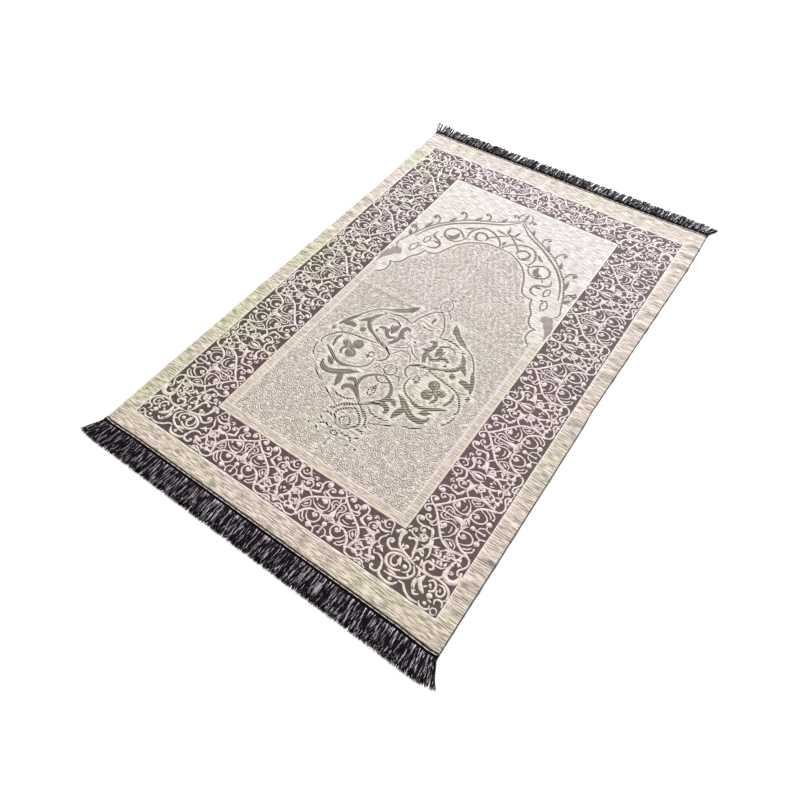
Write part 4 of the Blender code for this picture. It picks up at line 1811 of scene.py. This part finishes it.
        # Painted shadow: the dark copies under the curls and dashes.
        shade = RaisedFinish("field_shade_yarn", COLOURS.painted_shadow_yarn, COLOURS.shade_yarn_shadow, 0.0, 0.06)
        kinds = (
            ("field_shade", shade, self.painted_shadow_relief, 0.00002, self.painted_shadow_width / self.scroll_width),
            ("field_scrolls", light, self.scroll_relief, 0.00008, 1.0),
        )
        strokes = self.scrolls()
        halves = {
            "near": [stroke for stroke in strokes if stroke.points[0, 1] < self.scroll_split],
            "far": [stroke for stroke in strokes if stroke.points[0, 1] >= self.scroll_split],
        }
        pieces = []
        for end, half in halves.items():
            for name, finish, relief, sunk, wider in kinds:
                work = RaisedWork(self.form, f"{name}_{end}", finish, relief, Profile.RIDGE, sunk)
                pieces.append(work.build(placed(half, wider)))
        return pieces

    def build(self) -> list[bpy.types.Object]:
        """Returns all the pieces of the field's pattern."""
        return self.scroll_work() + self.lines()


@dataclass
class Cloth:
    """The woven sheet itself."""

    form: RugForm
    zones: Zones
    column_cell: float = 0.0060
    row_cell: float = 0.0030
    edge_cells: tuple[float, ...] = (0.0, 0.0004, 0.0010, 0.0016, 0.0022, 0.0035)
    fold_room: float = 0.002
    fold_cells: int = 12
    crisp_from: float = 60.0

    def steps(self, half: float, fold: float, cell: float) -> np.ndarray:
        """Returns the places of the grid's lines, closer together near the edges and a fold line."""
        first = self.edge_cells[-1]
        inside = np.linspace(-(half - first), half - first, 2 * round((half - first) / cell) + 1)
        edge = np.array(self.edge_cells[:-1])
        inside = inside[np.abs(inside - fold) > self.form.fold_reach + self.fold_room]
        fine = fold + np.linspace(-1, 1, self.fold_cells + 1) * self.form.fold_reach
        return np.sort(np.concatenate([-half + edge, inside, fine, half - edge]))

    def build(self) -> bpy.types.Object:
        """Returns the sheet, with its patterned face and its plain reverse and cut edge."""
        form = self.form
        columns = self.steps(form.half_width, form.lengthways_fold, self.column_cell)
        rows = self.steps(form.half_length, form.fold_line, self.row_cell)
        piece, shares = slab("woven_rug", len(columns) - 1, len(rows) - 1)
        across = columns[np.rint(shares[:, 0] * (len(columns) - 1)).astype(int)]
        along = rows[np.rint(shares[:, 1] * (len(rows) - 1)).astype(int)]
        x, y = form.outline(across, along)
        z = form.lift(across, along) + np.where(shares[:, 2] > 0.5, form.depth(across, along), 0.0)
        move_corners(piece.data, np.column_stack([x, y, z]))
        reverse = PlainFinish("woven_reverse", COLOURS.reverse, COLOURS.reverse_shadow)
        finished(piece, self.crisp_from, ClothFinish(self.zones).build(), reverse.build())
        normals = np.empty(len(piece.data.polygons) * 3)
        piece.data.polygons.foreach_get("normal", normals)
        upward = normals.reshape(-1, 3)[:, 2] > 0.3
        piece.data.polygons.foreach_set("material_index", np.where(upward, 0, 1))
        return declared(piece, "woven_cloth", "rug_cloth")


@dataclass
class HemTrim:
    """What shows of the sewing at the ends: the dark stitched line and the cream ridge by the fringe."""

    form: RugForm
    side_room: float = 0.0015
    stitch_in: float = 0.0008
    stitch_width: float = 0.0015
    stitch_length: float = 0.0034
    stitch_relief: float = 0.0003
    ridge_in: float = -0.0020
    ridge_width: float = 0.0015
    ridge_length: float = 0.012
    ridge_relief: float = 0.0006
    dash_shares: Spot = (0.0, 0.5, 0.93)
    dash_widths: Spot = (0.6, 1.0, 0.6)

    def line(self, outward: int, inward: float, width: float, dash: float) -> list[Stroke]:
        """Returns a row of dashes along one hem.

        Args:
            outward: -1 at the near end, +1 at the far end.
            inward: how far inside the cloth's edge the row runs.
            width: the width of a dash.
            dash: the length of a dash.

        Returns:
            The dashes.
        """
        half = self.form.half_width - self.side_room
        count = round(2 * half / dash)
        along = outward * (self.form.half_length - inward)
        strokes = []
        for index in range(count):
            start = -half + 2 * half * index / count
            places = np.array([[start + dash * share, along] for share in self.dash_shares])
            strokes.append(Stroke(places, 0.5 * width * np.array(self.dash_widths)))
        return strokes

    def build(self) -> list[bpy.types.Object]:
        """Returns the stitched lines and the ridges of both ends."""
        dark = RaisedFinish("stitch_thread", COLOURS.stitch, COLOURS.stitch_shadow, 0.0, 0.05)
        pale = RaisedFinish("hem_ridge_yarn", COLOURS.pale_line, COLOURS.cream, 0.15)
        stitches = (self.stitch_in, self.stitch_width, self.stitch_length)
        ridge = (self.ridge_in, self.ridge_width, self.ridge_length)
        kinds = (
            ("hem_stitches", dark, self.stitch_relief, stitches),
            ("hem_ridge", pale, self.ridge_relief, ridge),
        )
        return [
            RaisedWork(self.form, f"{name}_{end}", finish, relief).build(self.line(outward, *sizes))
            for outward, end in ((-1, "near"), (1, "far"))
            for name, finish, relief, sizes in kinds
        ]


@dataclass
class EdgeStrip:
    """A thin raised strip along one long edge of the cloth."""

    form: RugForm
    name: str
    side: int
    colour: Colour
    shadow: Colour
    inward: float
    width: float
    pitch: float = 0.004
    end_room: float = 0.001
    relief: float = 0.0005

    def build(self) -> bpy.types.Object:
        """Returns the strip."""
        half = self.form.half_length - self.end_room
        along = np.linspace(-half, half, round(2 * half / self.pitch) + 1)
        across = np.full_like(along, self.side * (self.form.half_width - self.inward))
        stroke = Stroke(np.column_stack([across, along]), np.full_like(along, self.width / 2))
        finish = RaisedFinish(f"{self.name}_thread", self.colour, self.shadow, 0.1)
        return RaisedWork(self.form, self.name, finish, self.relief).build([stroke])


@dataclass
class Fringe:
    """The fringe of one end: a header tape and loose twisted yarns that lie on the floor.

    The yarns lean by so many degrees in the middle, and fan out towards each corner. A fan's reach is
    how far from the corner it has died away to about a third.
    """

    form: RugForm
    name: str
    outward: int
    seed: int
    count: int
    lean: float
    left_fan: float
    left_reach: float
    right_fan: float
    right_reach: float
    tuft: float = 0.0
    extra: float = 0.0
    lit_from: float = 0.71
    bundle: float = 0.0030
    gather: float = 0.30
    uneven: float = 0.01
    turn: float = 1.6
    own_turn: float = 2.5
    wave_turn: float = 3.0
    wave_pace: float = 140.0
    side_room: float = 0.001
    tape_cells: tuple[int, int] = (160, 4)
    tape_gap: float = 0.0004
    tape_width: float = 0.008
    tape_thickness: float = 0.0024
    tape_edge: float = 0.62
    tape_crisp_from: float = 60.0
    length: float = 0.0360
    spread: float = 0.0008
    shorter: float = 0.05
    root: float = 0.94
    root_step: float = 0.06
    sway: float = 0.0017
    sway_paces: Place = (5, 9)
    sway_across: float = 0.3
    stray: float = 0.0016
    bow: float = 0.0005
    stacked: float = 0.9
    layer_lift: float = 0.0002
    yarn: float = 0.00062
    thinnest: float = 0.9
    thicker: float = 0.25
    tip: float = 0.2
    points: int = 8

    def tape(self) -> bpy.types.Object:
        """Returns the header tape, a flat band with rounded long edges."""
        piece, shares = slab(f"{self.name}_header", *self.tape_cells)
        across = (shares[:, 0] - 0.5) * 2 * self.form.half_width
        x, y = self.form.seam(across, self.outward, 0.0)
        away = self.tape_gap + self.tape_width * shares[:, 1]
        crown = np.sin(math.pi * np.clip(shares[:, 1], 0.0, 1.0)) ** 0.6
        crown = self.tape_thickness * (self.tape_edge + (1 - self.tape_edge) * crown)
        z = np.where(shares[:, 2] > 0.5, crown, 0.0)
        move_corners(piece.data, np.column_stack([x, y + self.outward * away, z]))
        finish = PlainFinish(f"{self.name}_tape", COLOURS.tape, COLOURS.tape_shadow, 0.03)
        finished(piece, self.tape_crisp_from, finish.build())
        return declared(piece, "fringe_yarn")

    def bundles(self, rng: random.Random) -> list[Place]:
        """Returns the turn in degrees and the share of the full length of each small bundle of yarns."""
        count = math.ceil(self.form.width / self.bundle) + 1
        return [(rng.gauss(0, self.turn), 1 - self.uneven * rng.random()) for _ in range(count)]

    def aim(self, rng: random.Random, bundle: Place, middle: float, layer: int) -> Place:
        """Returns the direction of one yarn, in radians from straight outwards, and its length.

        Args:
            rng: the source of the small differences between yarns.
            bundle: the turn and the share of the length of the yarn's bundle.
            middle: where the yarn starts, across the rug.
            layer: 0 for the lowest yarns, 2 for the top ones.

        Returns:
            The direction and the length.
        """
        turn, part = bundle
        left = math.exp(-(self.form.half_width + middle) / self.left_reach)
        right = math.exp(-(self.form.half_width - middle) / self.right_reach)
        lean = self.lean + (self.left_fan - self.lean) * left + (self.right_fan - self.lean) * right
        straight = math.cos(math.radians(lean))
        wave = self.wave_turn * math.sin(middle * self.wave_pace + self.seed)
        lean = math.radians(lean + rng.gauss(0, self.own_turn) + turn + wave)
        length = (self.length + self.tuft * left + self.extra) * part * straight / math.cos(lean)
        length += rng.uniform(-1, 1) * self.spread
        return lean, length * (1.0 - self.shorter * layer * rng.random())

    def yarn_path(
        self, rng: random.Random, bundles: list[Place], middle: float, layer: int
    ) -> tuple[np.ndarray, np.ndarray]:
        """Returns the points of one yarn and the radius at each of them.

        Args:
            rng: the source of the small differences between yarns.
            bundles: the turn and the share of the length of each bundle.
            middle: where the yarn starts, across the rug.
            layer: 0 for the lowest yarns, 2 for the top ones.

        Returns:
            The points and the radii.
        """
        number = int((self.form.half_width + middle) / self.bundle)
        gathered = (-self.form.half_width + (number + 0.5) * self.bundle - middle) * self.gather
        lean, length = self.aim(rng, bundles[number], middle, layer)
        start = self.tape_gap + self.tape_width * (self.root - self.root_step * layer)
        x0, y0 = self.form.seam(np.array([middle]), self.outward, start)
        share = np.linspace(0, 1, self.points)
        phase = rng.uniform(0, 2 * math.pi)
        sway = self.sway * share * np.sin(share * rng.uniform(*self.sway_paces) + phase)
        sway += rng.gauss(0, self.stray) * share**2
        run = length * share
        x = x0[0] + run * math.sin(lean) + sway * math.cos(lean) + gathered * share
        y = y0[0] + self.outward * run * math.cos(lean) + sway * math.sin(lean) * self.sway_across
        root = self.tape_thickness + self.layer_lift * layer
        rest = self.yarn * (1.0 + self.stacked * layer)
        z = rest + (root - rest) * (1 - share) ** 2 + self.bow * rng.random() * np.sin(math.pi * share)
        radius = self.yarn * (self.thinnest + self.thicker * rng.random()) * (1 - self.tip * share**4)
        return np.column_stack([x, y, np.maximum(z, radius)]), radius

    def tone(self, mesh: bpy.types.Mesh, rng: random.Random) -> None:
        """Gives each yarn its own tone from 0 to 1, which its finish reads to pick the yarns with painted
        highlights.
        """
        per_yarn = len(mesh.vertices) // self.count
        tones = np.repeat([rng.random() for _ in range(self.count)], per_yarn)
        attribute = mesh.attributes.new("tone", "FLOAT", "POINT")
        attribute.data.foreach_set("value", tones)

    def yarns(self) -> bpy.types.Object:
        """Returns all the yarns of the end, as one piece."""
        rng = random.Random(self.seed)
        piece = blank_curve(f"{self.name}_yarns")
        piece.data.bevel_depth = 1.0
        piece.data.bevel_resolution = 0
        half = self.form.half_width - self.side_room
        bundles = self.bundles(rng)
        for index in range(self.count):
            middle = -half + 2 * half * (index + rng.random() * 0.8) / self.count
            add_line(piece.data, *self.yarn_path(rng, bundles, middle, index % 3))
        self.tone(as_mesh(piece), rng)
        finished(piece, 180.0, FringeFinish(f"{self.name}_yarn", self.lit_from).build())
        return declared(piece, "fringe_yarn", self.name)

    def build(self) -> list[bpy.types.Object]:
        """Returns the header tape and the yarns."""
        return [self.tape(), self.yarns()]


@dataclass
class Studio:
    """The floor, the soft light and the camera."""

    floor_size: float = 12.0
    floor_colour: Colour = (0.97, 0.97, 0.97)
    sky_strength: float = 0.52
    daylight: Colour = (0.96, 0.985, 1.0)
    light_place: Spot = (-0.9, 4.6, 2.7)
    light_target: Spot = (0.0, 0.1, 0.0)
    light_size: float = 1.0
    light_power: float = 545.0
    lens: float = 28.42
    sensor: float = 36.0
    closest: float = 0.01
    camera_place: Spot = (0.42593, -0.71157, 0.89446)
    camera_turn: Spot = (35.4069, 0.6257, 35.1870)

    def floor(self) -> bpy.types.Object:
        """Returns the plain pale floor."""
        bpy.ops.mesh.primitive_plane_add(size=self.floor_size, location=(0.0, 0.0, 0.0))
        plane = named("floor")
        graph = Graph("plain_floor")
        inputs = {"Base Color": (*self.floor_colour, 1.0), "Roughness": 0.9}
        surface = graph.node("ShaderNodeBsdfPrincipled", None, inputs)
        graph.node("ShaderNodeOutputMaterial", None, {"Surface": surface.outputs[0]})
        plane.data.materials.append(graph.material)
        return plane

    def light(self) -> None:
        """Adds the square soft light."""
        aim = Vector(self.light_target) - Vector(self.light_place)
        turn = aim.to_track_quat("-Z", "Y").to_euler()
        bpy.ops.object.light_add(type="AREA", location=self.light_place, rotation=turn)
        lamp = named("window")
        lamp.data.size = self.light_size
        lamp.data.energy = self.light_power
        lamp.data.color = self.daylight

    def sky(self) -> None:
        """Fills the room with an even white light."""
        world = bpy.data.worlds.new("white_room")
        world.use_nodes = True
        background = world.node_tree.nodes["Background"]
        background.inputs["Color"].default_value = (1.0, 1.0, 1.0, 1.0)
        background.inputs["Strength"].default_value = self.sky_strength
        bpy.context.scene.world = world

    def camera(self) -> None:
        """Puts the camera where the picture was taken from."""
        turn = [math.radians(angle) for angle in self.camera_turn]
        bpy.ops.object.camera_add(location=self.camera_place, rotation=turn)
        camera = named("camera")
        camera.data.lens = self.lens
        camera.data.sensor_width = self.sensor
        camera.data.clip_start = self.closest
        bpy.context.scene.camera = camera

    def build(self) -> bpy.types.Object:
        """Sets up the room, and returns the floor."""
        floor = self.floor()
        self.sky()
        self.light()
        self.camera()
        bpy.context.scene.view_settings.view_transform = "Standard"
        return floor


def edge_strips(form: RugForm) -> list[bpy.types.Object]:
    """Returns thin raised strips along the two long edges: on the right a brown one, which is painted shadow
    of the cloth's edge, and on the left a wider pale lilac one.
    """
    brown = (COLOURS.painted_shadow_brown, COLOURS.painted_shadow_brown_dark)
    lilac = (COLOURS.left_strip_lilac, COLOURS.left_strip_lilac_dark)
    # Painted shadow: a thin brown strip along the right edge.
    right = EdgeStrip(form, "right_strip_painted_shadow", +1, *brown, inward=0.0009, width=0.0017)
    left = EdgeStrip(form, "left_edge_strip", -1, *lilac, inward=0.0018, width=0.0036)
    return [right.build(), left.build()]


def fringes(form: RugForm) -> list[bpy.types.Object]:
    """Returns the pieces of the two fringes: the near one full and straight, the far one thin and uneven."""
    near = Fringe(
        form,
        "fringe_near",
        outward=-1,
        seed=21,
        count=1700,
        lean=-2.0,
        left_fan=-25.0,
        left_reach=0.050,
        right_fan=30.0,
        right_reach=0.036,
        extra=0.002,
    )
    far = Fringe(
        form,
        "fringe_far",
        outward=+1,
        seed=22,
        count=900,
        lean=6.0,
        left_fan=-34.0,
        left_reach=0.016,
        right_fan=34.0,
        right_reach=0.035,
        tuft=0.018,
        lit_from=0.74,
        bundle=0.0044,
        gather=0.70,
        uneven=0.16,
        turn=4.5,
    )
    return near.build() + far.build()


def main() -> None:
    """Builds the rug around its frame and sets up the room."""
    logging.basicConfig(level=logging.INFO, format="%(message)s")
    form = RugForm()
    zones = Zones()
    floor = Studio().build()
    cloth = Cloth(form, zones).build()
    trimmings = BorderBand(form, zones).build()
    trimmings += FieldPattern(form, zones).build()
    trimmings += HemTrim(form).build()
    trimmings += edge_strips(form)
    trimmings += fringes(form)
    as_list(trimmings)


if __name__ == "__main__":
    main()
